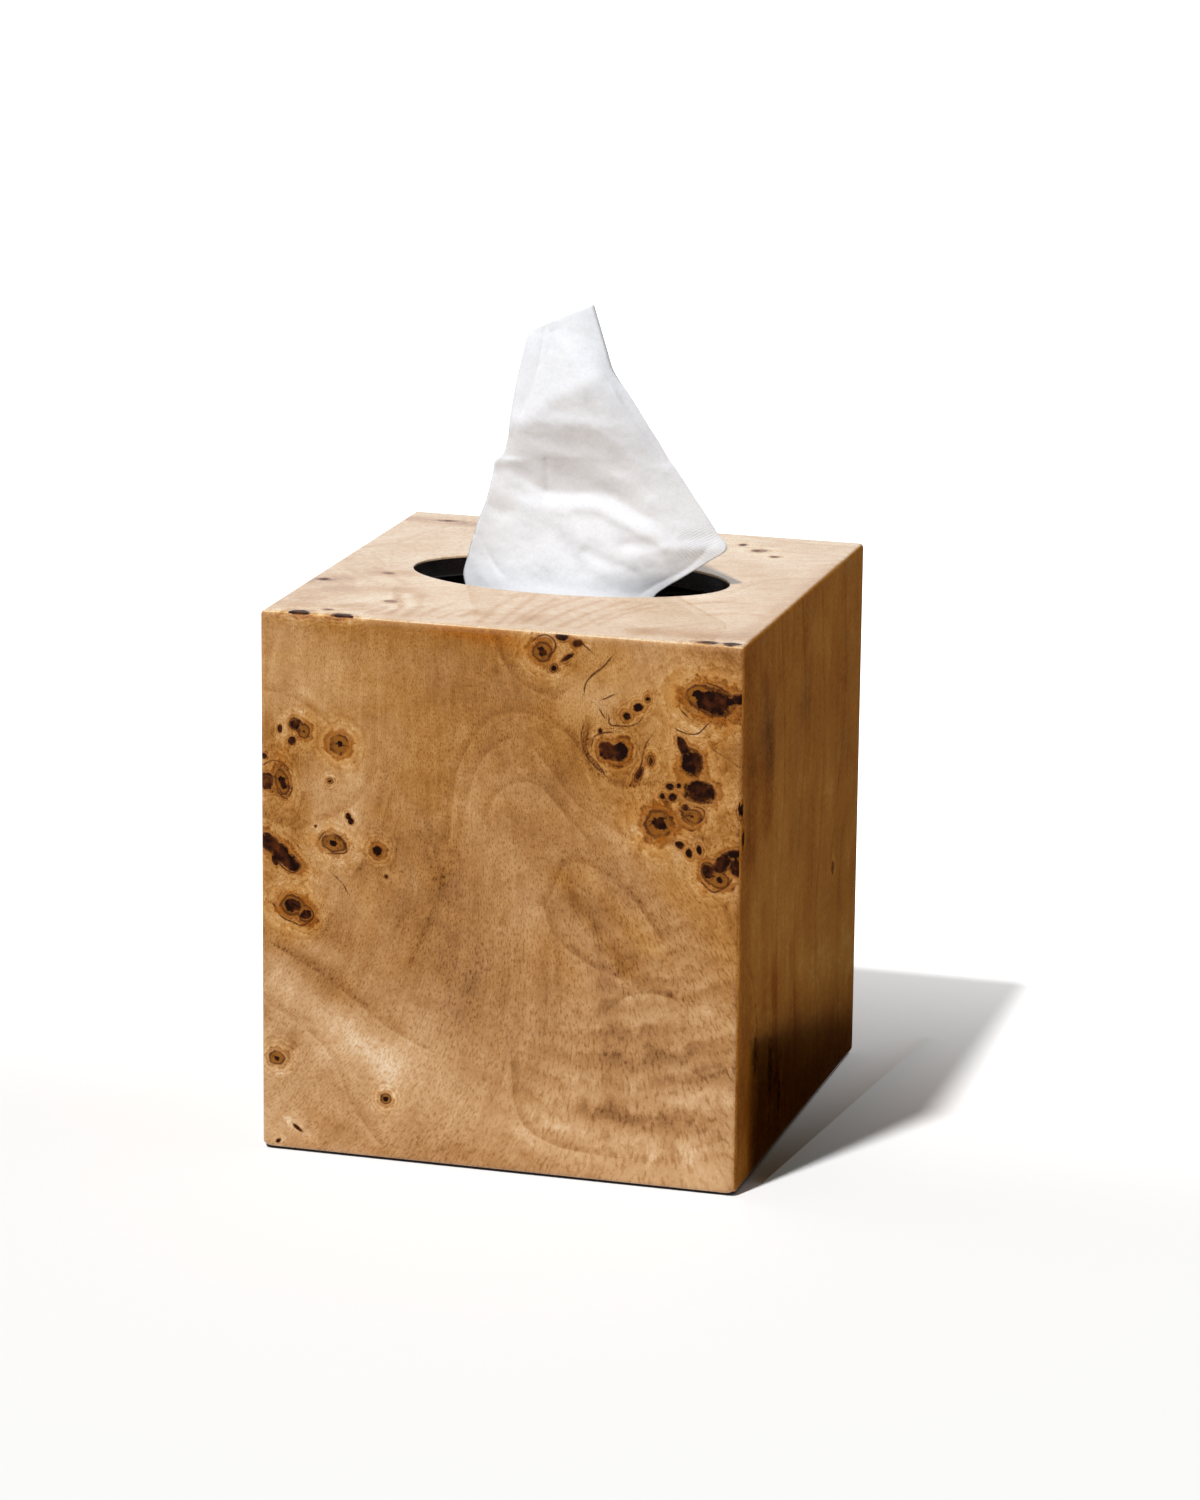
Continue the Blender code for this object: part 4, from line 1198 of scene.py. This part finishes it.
def carton_sleeve(materials):
    """Walls and top as one folded skin, which Solidify then gives its thickness."""
    plan = rounded_square(carton_half, crease_round, plan_step, crease_steps)
    low, high = sleeve_foot, carton_height - crease_round
    rows = round((high - low) / panel_step)
    rings = []
    for row in range(rows + 1):
        z = low + (high - low) * row / rows
        swell = panel_bow * math.sin(math.pi * row / rows)
        ring = []
        for x, y, u, v in plan:
            along = x if abs(v) > abs(u) else y
            bow = swell * max(0.0, 1 - (along / carton_half) ** 2) - panel_bow
            ring.append((x + u * bow, y + v * bow, z))
        rings.append(ring)
    for step in range(1, crease_steps + 1):
        turn = math.pi / 2 * step / crease_steps
        back = panel_bow + (crease_fold * crease_round - panel_bow) * (1 - math.cos(turn))
        rings.append([(x - u * back, y - v * back, high + crease_round * math.sin(turn))
                      for x, y, u, v in plan])
    outer = np.array(rings[-1])
    turns = np.arctan2(outer[:, 1] / window_half_width, outer[:, 0] / window_half_length)
    window = np.column_stack((window_half_length * np.cos(turns),
                              window_half_width * np.sin(turns), outer[:, 2]))
    for share in sleeve_shares:
        rings.append([tuple(point) for point in outer + (window - outer) * share])
    points = [point for ring in rings for point in ring]
    piece = add_piece("carton_sleeve", points, ring_faces(len(rings), len(plan)), materials[0])
    piece.data.materials.append(materials[1])
    skin = piece.modifiers.new("board", "SOLIDIFY")
    skin.thickness = board_skin
    skin.offset = -1.0
    skin.material_offset = 1
    skin.material_offset_rim = 1
    return piece


def carton_flap(name, low, high, material):
    """A flat flap of the same board with soft cut edges."""
    mesh = bpy.data.meshes.new(name)
    shape = bmesh.new()
    bmesh.ops.create_cube(shape, size=1.0)
    size, middle = Vector(high) - Vector(low), (Vector(high) + Vector(low)) / 2
    bmesh.ops.transform(shape, matrix=Matrix.Diagonal((*size, 1.0)), verts=shape.verts)
    bmesh.ops.translate(shape, vec=middle, verts=shape.verts)
    bmesh.ops.bevel(shape, geom=shape.edges[:], offset=min(size) * flap_bevel, segments=2,
                    profile=0.5, affect="EDGES", clamp_overlap=True)
    shape.to_mesh(mesh)
    shape.free()
    mesh.materials.append(material)
    mesh.shade_smooth()
    piece = bpy.data.objects.new(name, mesh)
    bpy.context.scene.collection.objects.link(piece)
    return piece


white_board, grey_board = coated_board(), raw_board()
sleeve = carton_sleeve((white_board, grey_board))
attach(sleeve, "refill")
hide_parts("carton_front", "carton_right", "carton_back", "carton_left", "carton_top")

# Carton base and glued seam. Two big flaps close the foot edge to edge, and the glue flap
# of the side seam overlaps the back panel in a straight strip.
flap_gap = 0.0003
seam_width = 0.012
seam_rise = 0.00035
seam_sink = 0.0002
seam_margin = 0.0030
flap_margin, flap_sink = 0.0012, 0.0002
tuck = carton_half - flap_margin
base_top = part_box("carton_base")[1][2] - flap_sink
flaps = {
    "carton_front_flap": ((-tuck, -tuck, 0.0), (tuck, -flap_gap, base_top)),
    "carton_back_flap": ((-tuck, flap_gap, 0.0), (tuck, tuck, base_top)),
}
for name, (low, high) in flaps.items():
    flap = carton_flap(name, low, high, white_board)
    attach(flap, "refill")
    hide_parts("carton_base")
seam = carton_flap("carton_seam_strip", (-tuck, carton_half - seam_sink, seam_margin),
                   (-carton_half + seam_width, carton_half + seam_rise,
                    carton_height - seam_margin), white_board)
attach(seam, "refill")

# Torn nibs. Pressing out the carton's oval window leaves a small torn wedge of grey board
# at every uncut bridge of the perforation, evenly spaced round the hole.
nib_sizes = {"Half length": window_half_length, "Half width": window_half_width,
             "Height": carton_height - board_skin / 2, "Nib reach": 0.0009, "Nib width": 0.0012,
             "Board": board_skin * 0.9, "Count": 110, "Seed": 7}


def nib_tree(material):
    """An ellipse carries one tapered wedge per bridge, each turned inwards."""
    tree = bpy.data.node_groups.new("window_nibs", "GeometryNodeTree")
    for name, size in nib_sizes.items():
        kind = "NodeSocketInt" if isinstance(size, int) else "NodeSocketFloat"
        tree.interface.new_socket(name, in_out="INPUT", socket_type=kind)
    tree.interface.new_socket("Nibs", in_out="OUTPUT", socket_type="NodeSocketGeometry")

    def node(kind, inputs, **settings):
        made = tree.nodes.new(kind)
        for name, value in settings.items():
            setattr(made, name, value)
        feed(tree, made, inputs)
        return made

    sizes = node("NodeGroupInput", {}).outputs
    oval_size = node("ShaderNodeCombineXYZ", {0: sizes["Half length"], 1: sizes["Half width"],
                                              2: 1.0}).outputs[0]
    circle = node("GeometryNodeCurvePrimitiveCircle", {"Resolution": 256, "Radius": 1.0})
    lift = node("ShaderNodeCombineXYZ", {2: sizes["Height"]}).outputs[0]
    oval = node("GeometryNodeTransform", {"Geometry": circle.outputs["Curve"],
                                          "Translation": lift, "Scale": oval_size})
    bridges = node("GeometryNodeCurveToPoints", {"Curve": oval.outputs[0],
                                                 "Count": sizes["Count"]}, mode="COUNT")
    squared = node("ShaderNodeVectorMath", {0: oval_size, 1: oval_size}, operation="MULTIPLY")
    outward = node("ShaderNodeVectorMath", {0: node("GeometryNodeInputPosition", {}).outputs[0],
                                            1: squared.outputs[0]}, operation="DIVIDE")
    level = node("ShaderNodeVectorMath", {0: outward.outputs[0], 1: (-1.0, -1.0, 0.0)},
                 operation="MULTIPLY")
    turned = node("FunctionNodeAlignRotationToVector", {"Vector": level.outputs[0]}, axis="X",
                  pivot_axis="Z")
    wedge = node("GeometryNodeMeshCone", {"Vertices": 4, "Radius Top": 0.16,
                                          "Radius Bottom": 0.5, "Depth": 1.0})
    wedge_size = node("ShaderNodeCombineXYZ", {0: sizes["Board"], 1: sizes["Nib width"],
                                               2: sizes["Nib reach"]}).outputs[0]
    root = node("ShaderNodeMath", {0: sizes["Nib reach"], 1: -0.35}, operation="MULTIPLY")
    sunk = node("ShaderNodeCombineXYZ", {0: root.outputs[0]}).outputs[0]
    laid = node("GeometryNodeTransform", {"Geometry": wedge.outputs["Mesh"], "Scale": wedge_size,
                                          "Rotation": (0.0, math.pi / 2, 0.0),
                                          "Translation": sunk})
    torn = node("FunctionNodeRandomValue", {"Min": (0.55, 0.60, 0.80), "Max": (1.1, 1.25, 1.0),
                                            "Seed": sizes["Seed"]}, data_type="FLOAT_VECTOR")
    nibs = node("GeometryNodeInstanceOnPoints", {"Points": bridges.outputs["Points"],
                                                 "Instance": laid.outputs[0],
                                                 "Rotation": turned.outputs[0],
                                                 "Scale": torn.outputs[0]})
    solid = node("GeometryNodeRealizeInstances", {"Geometry": nibs.outputs[0]})
    dressed = node("GeometryNodeSetMaterial", {"Geometry": solid.outputs[0],
                                               "Material": material})
    node("NodeGroupOutput", {0: dressed.outputs[0]})
    return tree


def torn_nibs(material):
    """Runs the tree once and keeps its result as a plain mesh."""
    tree = nib_tree(material)
    piece = add_piece("carton_torn_nibs", [], [], material, False)
    grower = piece.modifiers.new("nibs", "NODES")
    grower.node_group = tree
    for port in tree.interface.items_tree:
        if port.in_out == "INPUT":
            grower[port.identifier] = nib_sizes[port.name]
    grown = piece.evaluated_get(bpy.context.evaluated_depsgraph_get())
    mesh = bpy.data.meshes.new_from_object(grown)
    piece.modifiers.remove(grower)
    piece.data = mesh
    return piece


nibs = torn_nibs(grey_board)
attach(nibs, "refill")

# Window film. A square of thin clear film is glued inside the carton's top. Its middle is
# slit from end to end, and the tissues stretch the slit open and leave it slightly wavy.
film_low, film_high = (corner.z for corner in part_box("window_film"))
film_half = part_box("window_film")[1][0]
film_skin = 0.00008
slit_half_length = 0.0420
slit_half_width = 0.0031
film_rings = 26
film_points = 240
film_grey = (0.82, 0.84, 0.86)


def clear_film():
    material, tree, shader = surface("clear_film")
    place = in_mm(tree)
    crease = noise(tree, scaled(tree, place, 0.12, 0.30, 0.0), 1.0, 3.0, 0.5, 1.0)
    scuff = noise(tree, place, 0.8, 3.0, 0.6)
    feed(tree, shader, {"Base Color": tint(film_grey), "IOR": 1.35,
                        "Roughness": added(tree, (scuff, 0.3), (0.20, 1.0)),
                        "Alpha": between(tree, crease, -0.3, 0.4, 0.30, 0.55)})
    bump(tree, shader, added(tree, (crease, 1.0), (scuff, 0.1)), 0.8, 0.0012)
    return material


def slit_film(material):
    """Rings from the film's square edge in to the slit, waved most near the slit."""
    turns = np.arange(film_points) * 2 * math.pi / film_points
    x, y = np.cos(turns), np.sin(turns)
    square = np.stack((x, y), 1) * (film_half / np.maximum(abs(x), abs(y)))[:, None]
    slit = np.stack((slit_half_length * x, slit_half_width * y), 1)
    middle, swing = (film_low + film_high) / 2, (film_high - film_low) / 2 - film_skin
    points = []
    for ring in range(film_rings + 1):
        share = (ring / film_rings) ** 0.7
        plan = square + (slit - square) * share
        wave = np.sin(plan[:, 0] / 0.0046 + 1.3 * np.sin(plan[:, 1] / 0.011))
        wave += 0.6 * np.sin(plan[:, 0] / 0.0021 + plan[:, 1] / 0.007)
        z = middle + swing * 0.6 * share ** 2 * wave
        points += np.column_stack((plan, z)).tolist()
    faces = ring_faces(film_rings + 1, film_points)
    piece = add_piece("slit_window_film", points, faces, material)
    skin = piece.modifiers.new("film", "SOLIDIFY")
    skin.thickness = film_skin
    skin.offset = 0.0
    return piece


window_film = slit_film(clear_film())
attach(window_film, "refill")
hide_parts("window_film")

# Tissue stack. Interfolded two-ply sheets lie in the carton, about half of them left. The
# front and back show round folds, and the ends show the cut edges of every layer.
stack_low, stack_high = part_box("tissue_stack")
layer_count = 58
layer_rows = 4
fold_bulge = 0.0009
layer_jitter = 0.0006
stack_step = 0.0016
top_sag = 0.0016
stack_corner, stack_corner_steps = 0.004, 5
stack_seed = 5
stack_droop = 0.0006
crown_shares = (0.01, 0.04, 0.10, 0.2, 0.32, 0.45, 0.58, 0.70, 0.8, 0.9, 0.97)
tissue_white, tissue_shade = (0.895, 0.908, 0.936), (0.775, 0.79, 0.835)


def soft_tissue():
    """Creped two-ply paper: a soft white with fine crepe lines, fibre clouds and sheen."""
    material, tree, shader = surface("tissue_paper")
    place = in_mm(tree)
    uv = painted(tree, "cloth")
    crepe = noise(tree, scaled(tree, uv, 0.7, 5.5, 0.0), 1.0, 3.0, 0.6, 0.4)
    fibre = noise(tree, place, 1.1, 5.0, 0.65)
    cloud = noise(tree, place, 0.14, 2.0)
    dots = split_up(tree, scaled(tree, uv, 5.7, 5.7, 1.0))
    emboss = times(tree, sums(tree, "SINE", dots[0]), sums(tree, "SINE", dots[1]), dots[2])
    shade = between(tree, added(tree, (fibre, 1.0), (crepe, 0.6), (cloud, 0.6)), -0.5, 0.35)
    colour = blended(tree, shade, tint(tissue_shade), tint(tissue_white))
    feed(tree, shader, {"Base Color": colour, "Specular IOR Level": 0.15,
                        "Roughness": added(tree, (fibre, 0.1), (0.90, 1.0)),
                        "Sheen Weight": 0.15, "Sheen Roughness": 0.5})
    bump(tree, shader, added(tree, (crepe, 0.8), (fibre, 1.0), (emboss, 1.2)), 0.35, 0.00018)
    return material


def folded_stack(material):
    """Layer by layer up the sides, then rings in over the top sheet to its middle."""
    random = np.random.default_rng(stack_seed)
    reach = stack_high.x - fold_bulge - layer_jitter
    plan = np.array(rounded_square(reach, stack_corner, stack_step, stack_corner_steps))
    height = stack_high.z - stack_low.z - top_sag
    pitch = height / layer_count
    rings, cloth = [], []
    folds = np.abs(plan[:, 3]) > np.abs(plan[:, 2])
    wander = np.zeros(len(plan))
    for layer in range(layer_count):
        shift = random.uniform(-1, 1, 4) * layer_jitter
        turn = np.arctan2(plan[:, 3], plan[:, 2])
        wander = 0.6 * wander + 0.4 * shift[0] * np.sin(2 * turn + shift[1] / layer_jitter)
        for row in range(layer_rows):
            place = row / layer_rows
            bulge = np.where(folds, fold_bulge * math.sqrt(max(0.0, 1 - (2 * place - 1) ** 2)),
                             fold_bulge * 0.25 * (row % 2))
            out = bulge + wander + shift[2] * 0.5
            droop = stack_droop * np.sin(plan[:, 0] / 0.016 + 0.15 * layer) * (layer / layer_count)
            z = np.full(len(plan), stack_low.z + pitch * (layer + place)) + droop
            z = np.maximum(z, stack_low.z)
            rings.append(np.column_stack((plan[:, :2] + plan[:, 2:] * out[:, None], z)))
            cloth.append(np.column_stack((plan[:, 0], z * 3, z * 0)))
    edge = rings[-1]
    for share in crown_shares:
        ring = edge * (1 - share)
        ring[:, 2] = (edge[:, 2] + pitch * 0.5 * min(1.0, share / 0.04)
                      + stack_droop * share * np.sin(ring[:, 0] / 0.012 + ring[:, 1] / 0.02))
        ring[:, 2] = np.minimum(ring[:, 2], stack_high.z)
        rings.append(ring)
        cloth.append(np.column_stack((ring[:, :2], ring[:, 2] * 0)))
    count = len(plan)
    points = np.vstack(rings)
    faces = ring_faces(len(rings), count)
    faces.append(tuple(range(count - 1, -1, -1)))
    faces.append(tuple(range(len(points) - count, len(points))))
    piece = add_piece("folded_tissue_stack", points.tolist(), faces, material)
    store(piece, "cloth", np.vstack(cloth) / mm)
    return piece


paper = soft_tissue()
stack = folded_stack(paper)
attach(stack, "refill")
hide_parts("tissue_stack")

# Pulled tissue. One two-ply sheet, 200 by 200 mm, stands up out of the slit in four loose
# layers. The front layer hangs over in a belly and ends in a soft hem at the right.
# Rows up the sheet in millimetres: left x and z, right x and z, then y at the left edge, a
# quarter, half and three quarters across, and the right edge. From the opening up, x and z
# are as they look when everything lies in the plane y = sight_plane.
sheet_skin = 0.00012
sight_plane = -4.0
sight_slide = (0.288, 0.271)
tissue_rows = (
    (-37, 72.2, 33, 72.2, 3, 0.3, -1.5, -2.2, -2), (-41, 80, 37, 81, 1, -2, -1.5, -3, -1),
    (-41, 92, 37, 93, -1, -2.5, -3, -1.5, 1), (-37, 106, 33, 106, 1, -1, -2.5, -2.5, -1),
    (-31, 119, 26, 119, 0, -1, -1.5, -1, 0), (-27.3, 129.4, 21.8, 129.4, 0, -0.3, -0.4, -0.3, 0),
    (-27.3, 132.6, 21.8, 132.6, -4, -9, -10.5, -9, -5),
    (-27.6, 136.6, 22.6, 136.4, -7.5, -14.6, -16.6, -15.2, -10),
    (-28.1, 141.8, 24, 140.8, -6.2, -12, -13.8, -12.6, -8.6),
    (-28.8, 146.2, 24.9, 144.4, -5, -9.8, -11.2, -10.6, -7.5),
    (-27.7, 150.8, 32.6, 149.9, -4.7, -8.2, -9, -8.8, -5.2),
    (-26.7, 154.8, 39.1, 154.4, -4.6, -7, -7.4, -7.4, -2.6),
    (-25.8, 157.8, 44.2, 158.4, -4.5, -6, -6.2, -6.4, -0.2),
    (-24.7, 161.3, 41.6, 162.4, -4.3, -4.9, -4.8, -5.2, 0.3),
    (-23.2, 165, 38.9, 166.4, -4, -3.6, -3.4, -3.9, 0.4),
    (-21.6, 170.3, 35.3, 171.4, -3.6, -2.4, -2.1, -3, 0.2),
    (-20.6, 174.9, 31.8, 176.4, -3.2, -2.5, -2.4, -3.3, 0),
    (-20.1, 177.7, 29.6, 179.4, -3.6, -3.1, -3, -3.8, -0.2),
    (-17.9, 179.7, 28, 181.4, -3, -3.7, -3.8, -4.2, -0.3),
    (-16.7, 183.7, 25.1, 185.9, -3.4, -5, -5.4, -5.1, -0.9),
    (-16.3, 186.8, 23.2, 188.6, -3.8, -6, -6.3, -5.7, -1.4),
    (-15.9, 189.9, 21.2, 191.5, -3.8, -6.2, -6.6, -6, -2),
    (-14.9, 196.4, 17.2, 197.4, -3.4, -5.6, -6.8, -6.6, -2.6),
    (-13.6, 202.9, 12.6, 203.8, -2.9, -4.6, -5.7, -6, -2.6),
    (-12.3, 208.6, 10.6, 209.6, -2.2, -3.4, -4.2, -4.4, -2),
    (-11.4, 212, 9, 214.7, -1.6, -2.4, -2.9, -2.9, -1.4),
    (-11.1, 213.3, 6.8, 221.7, -1, -1.6, -2, -2, -1.2),
)
# Folds of the front layer: points (x, z), how far they stand forward, their width, and 2 for
# a soft swell or 1 for a crisp crease.
tissue_folds = (
    (((-18.1, 177.5), (-11.9, 173.6), (-5.8, 170.7), (1.9, 170.5), (9.7, 170.9), (16.6, 168),
      (22.7, 164.2), (28.8, 161.6)), -0.5, 2.0, 2),
    (((-13.5, 186.4), (-9.5, 181.4), (2.5, 178.4), (12.6, 175.4), (22.6, 169.4)), 0.6, 3, 2),
    (((-6.1, 178.9), (-5.7, 174.3), (-5.3, 170.1)), -0.5, 0.8, 1),
    (((-13.4, 189), (-1.6, 196.8), (9.5, 201.9)), 0.7, 3, 2),
    (((11.9, 199.5), (15.5, 193.6), (19.5, 188.5), (27, 178)), 0.5, 0.9, 1),
    (((15.1, 196.4), (20.6, 188.9), (26.6, 180.4)), -0.5, 1.6, 2),
    (((-24.5, 157.1), (-21.9, 152.3), (-18.2, 147)), -0.6, 0.9, 1),
    (((-26.5, 150.3), (-22.5, 144.3)), 0.4, 1.6, 2),
    (((-4.5, 159.3), (-0.5, 155.3), (3.6, 149.3)), -0.7, 3.2, 2),
    (((5.6, 154.8), (11.6, 151.7), (18.6, 149.9)), -0.5, 2.0, 2),
    (((16.6, 157.2), (24.6, 158.2), (31.6, 159.4), (40.6, 160.8)), -0.65, 2.0, 2),
    (((39.6, 158.9), (33.6, 152.4), (24.6, 146.9), (20.6, 143.9)), -0.6, 1, 1),
    (((-25.5, 166.8), (-17.5, 163.3)), -0.6, 1.7, 2),
    (((-4.7, 213.4), (-5, 208.9)), -0.45, 0.6, 1),
    (((-6.5, 214.9), (-8.7, 202.4), (-13.4, 190.1), (-17.9, 178.3)), -0.45, 0.8, 1),
    (((-21.5, 171.3), (-9.5, 165.3), (6.6, 166.9)), 0.5, 2.2, 2),
    (((8.6, 166.4), (18.6, 161.9), (26.6, 157.4)), 0.5, 1.6, 2),
    (((-3.5, 212.4), (2.5, 203.4), (4.5, 196.4)), 0.25, 1.5, 2),
    (((0.5, 164.3), (4.6, 156.3)), 0.3, 1.4, 2),
    (((-14.6, 188.7), (5.2, 188.8), (13, 184.2), (21, 177), (28, 169.6)), 0.32, 2.2, 2),
)
layer_turns = (1.0, 0.0, 0.94, 0.08, 0.86)
layer_gaps = (0.0, 1.2, 0.8, 0.4)
layer_shares = (0.0, 0.45, 0.30, 0.15)
front_samples, hidden_samples, sheet_rows = 92, 26, 240
wrinkle_height = 0.09
pleat_height = 0.8
edge_curl, curl_width, curl_foot = 1.1, 0.9, 200.0
pleat_turns, pleat_wander = (40.0, 67.0), 0.7
pleat_top, pleat_fade = 128.0, 20.0
slide_foot, slide_fade = 134.0, 8.0
emboss_place, emboss_reach = (36.7, 159.0), (7.0, 5.0)


def between_rows(table, places):
    """A smooth curve through the table's rows, at fractional row numbers."""
    table = np.array(table, float)
    low = np.clip(places.astype(int), 0, len(table) - 2)
    t = (places - low)[:, None]
    padded = np.vstack((2 * table[0] - table[1], table, 2 * table[-1] - table[-2]))
    a, b, c, d = (padded[low + k] for k in range(4))
    return spline_point(a, b, c, d, t)


def soft_waves(x, z, seed, count=26):
    """A sum of small sine waves in random directions, as faint crumples."""
    random = np.random.default_rng(seed)
    total = np.zeros_like(x)
    for _ in range(count):
        turn, length = random.uniform(0, math.pi), random.uniform(2.2, 11.0)
        phase = random.uniform(0, 2 * math.pi)
        total += length * np.sin(2 * math.pi * (x * math.cos(turn) + z * math.sin(turn)) / length
                                 + phase)
    return total / (6.0 * math.sqrt(count))


def front_folds(x, z):
    """How far the folds and faint crumples carry the front layer forward."""
    spot = np.stack((x.ravel(), z.ravel()), 1)
    forward = wrinkle_height * soft_waves(spot[:, 0], spot[:, 1], 7)
    for points, height, width, power in tissue_folds:
        gap = np.abs(line_distance(spot, (points,)))
        forward += height * np.exp(-(gap / width) ** power)
    return (forward * np.clip((spot[:, 1] - 140) / 6, 0, 1)).reshape(x.shape)


def pulled_sheet(material):
    rows = between_rows(tissue_rows, np.linspace(0, len(tissue_rows) - 1, sheet_rows))
    left_x, left_z, right_x, right_z = rows[:, :4].T
    depths = rows[:, 4:].T
    grid = []
    for layer, (start, end) in enumerate(zip(layer_turns, layer_turns[1:])):
        count = front_samples if layer == 0 else hidden_samples
        first = 0 if layer == 0 else 1
        across = start + (end - start) * np.arange(first, count + first) / (count + first - 1)
        y, across = between_rows(depths, across * 4), across[:, None]
        x = left_x + (right_x - left_x) * across
        z = left_z + (right_z - left_z) * across
        flat_y = depths[0] + (depths[4] - depths[0]) * across
        inland = np.minimum(1.0, 5.0 * np.minimum(across, 1.0 - across))
        back = layer_shares[layer] * np.maximum(flat_y - y, 0.0) + layer_gaps[layer]
        y = y - (0.35 + 0.65 * inland) * front_folds(x, z) + (0.25 + 0.75 * inland) * back
        if layer == 0:
            near = np.clip(1 - (1 - across) * (right_x - left_x) / curl_width, 0, 1)
            y = y + edge_curl * near ** 2 * np.clip((z - curl_foot) / 4, 0, 1)
        grid.append(np.stack((x, y, z), 2))
    grid = np.concatenate(grid)
    low = np.clip((pleat_top - grid[:, :, 2]) / pleat_fade, 0, 1)
    share = (grid[:, :, 0] - left_x) / (right_x - left_x)
    pleats = (np.sin(pleat_turns[0] * share + pleat_wander * np.sin(grid[:, :, 2] / 9))
              + 0.5 * np.sin(pleat_turns[1] * share + 2))
    grid[:, :, 1] += low * pleat_height * pleats
    hidden, high = grid[front_samples:], 1 - low[front_samples:]
    hidden[:, :, 1] += 0.12 * high * soft_waves(hidden[:, :, 0], hidden[:, :, 2], 3)
    slide = sight_plane - grid[:, :, 1]
    slide *= np.clip((grid[:, :, 2] - slide_foot) / slide_fade, 0, 1)
    looks_x, looks_z = grid[:, :, 0].copy(), grid[:, :, 2].copy()
    grid[:, :, 0] += sight_slide[0] * slide
    grid[:, :, 2] += sight_slide[1] * slide

    steps = np.linalg.norm(np.diff(grid, axis=0), axis=2).mean(1)
    across_mm = np.concatenate(((0.0,), np.cumsum(steps)))
    cloth = np.zeros_like(grid)
    cloth[:, :, 0] = across_mm[:, None]
    cloth[:, :, 1] = np.linspace(0, 200, sheet_rows)
    corner = np.hypot((looks_x - emboss_place[0]) / emboss_reach[0],
                      (looks_z - emboss_place[1]) / emboss_reach[1])
    cloth[:front_samples, :, 2] = np.clip(1.4 - corner[:front_samples], 0, 1)
    columns, count = grid.shape[:2]
    faces = [(c * count + r, c * count + r + 1, (c + 1) * count + r + 1, (c + 1) * count + r)
             for c in range(columns - 1) for r in range(count - 1)]
    piece = add_piece("pulled_tissue_sheet", (grid.reshape(-1, 3) * mm).tolist(), faces, material)
    store(piece, "cloth", cloth)
    ply = piece.modifiers.new("two plies", "SOLIDIFY")
    ply.thickness = sheet_skin
    ply.offset = 0.0
    return piece


tissue = pulled_sheet(paper)
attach(tissue, "tissue")
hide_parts("pulled_tissue")
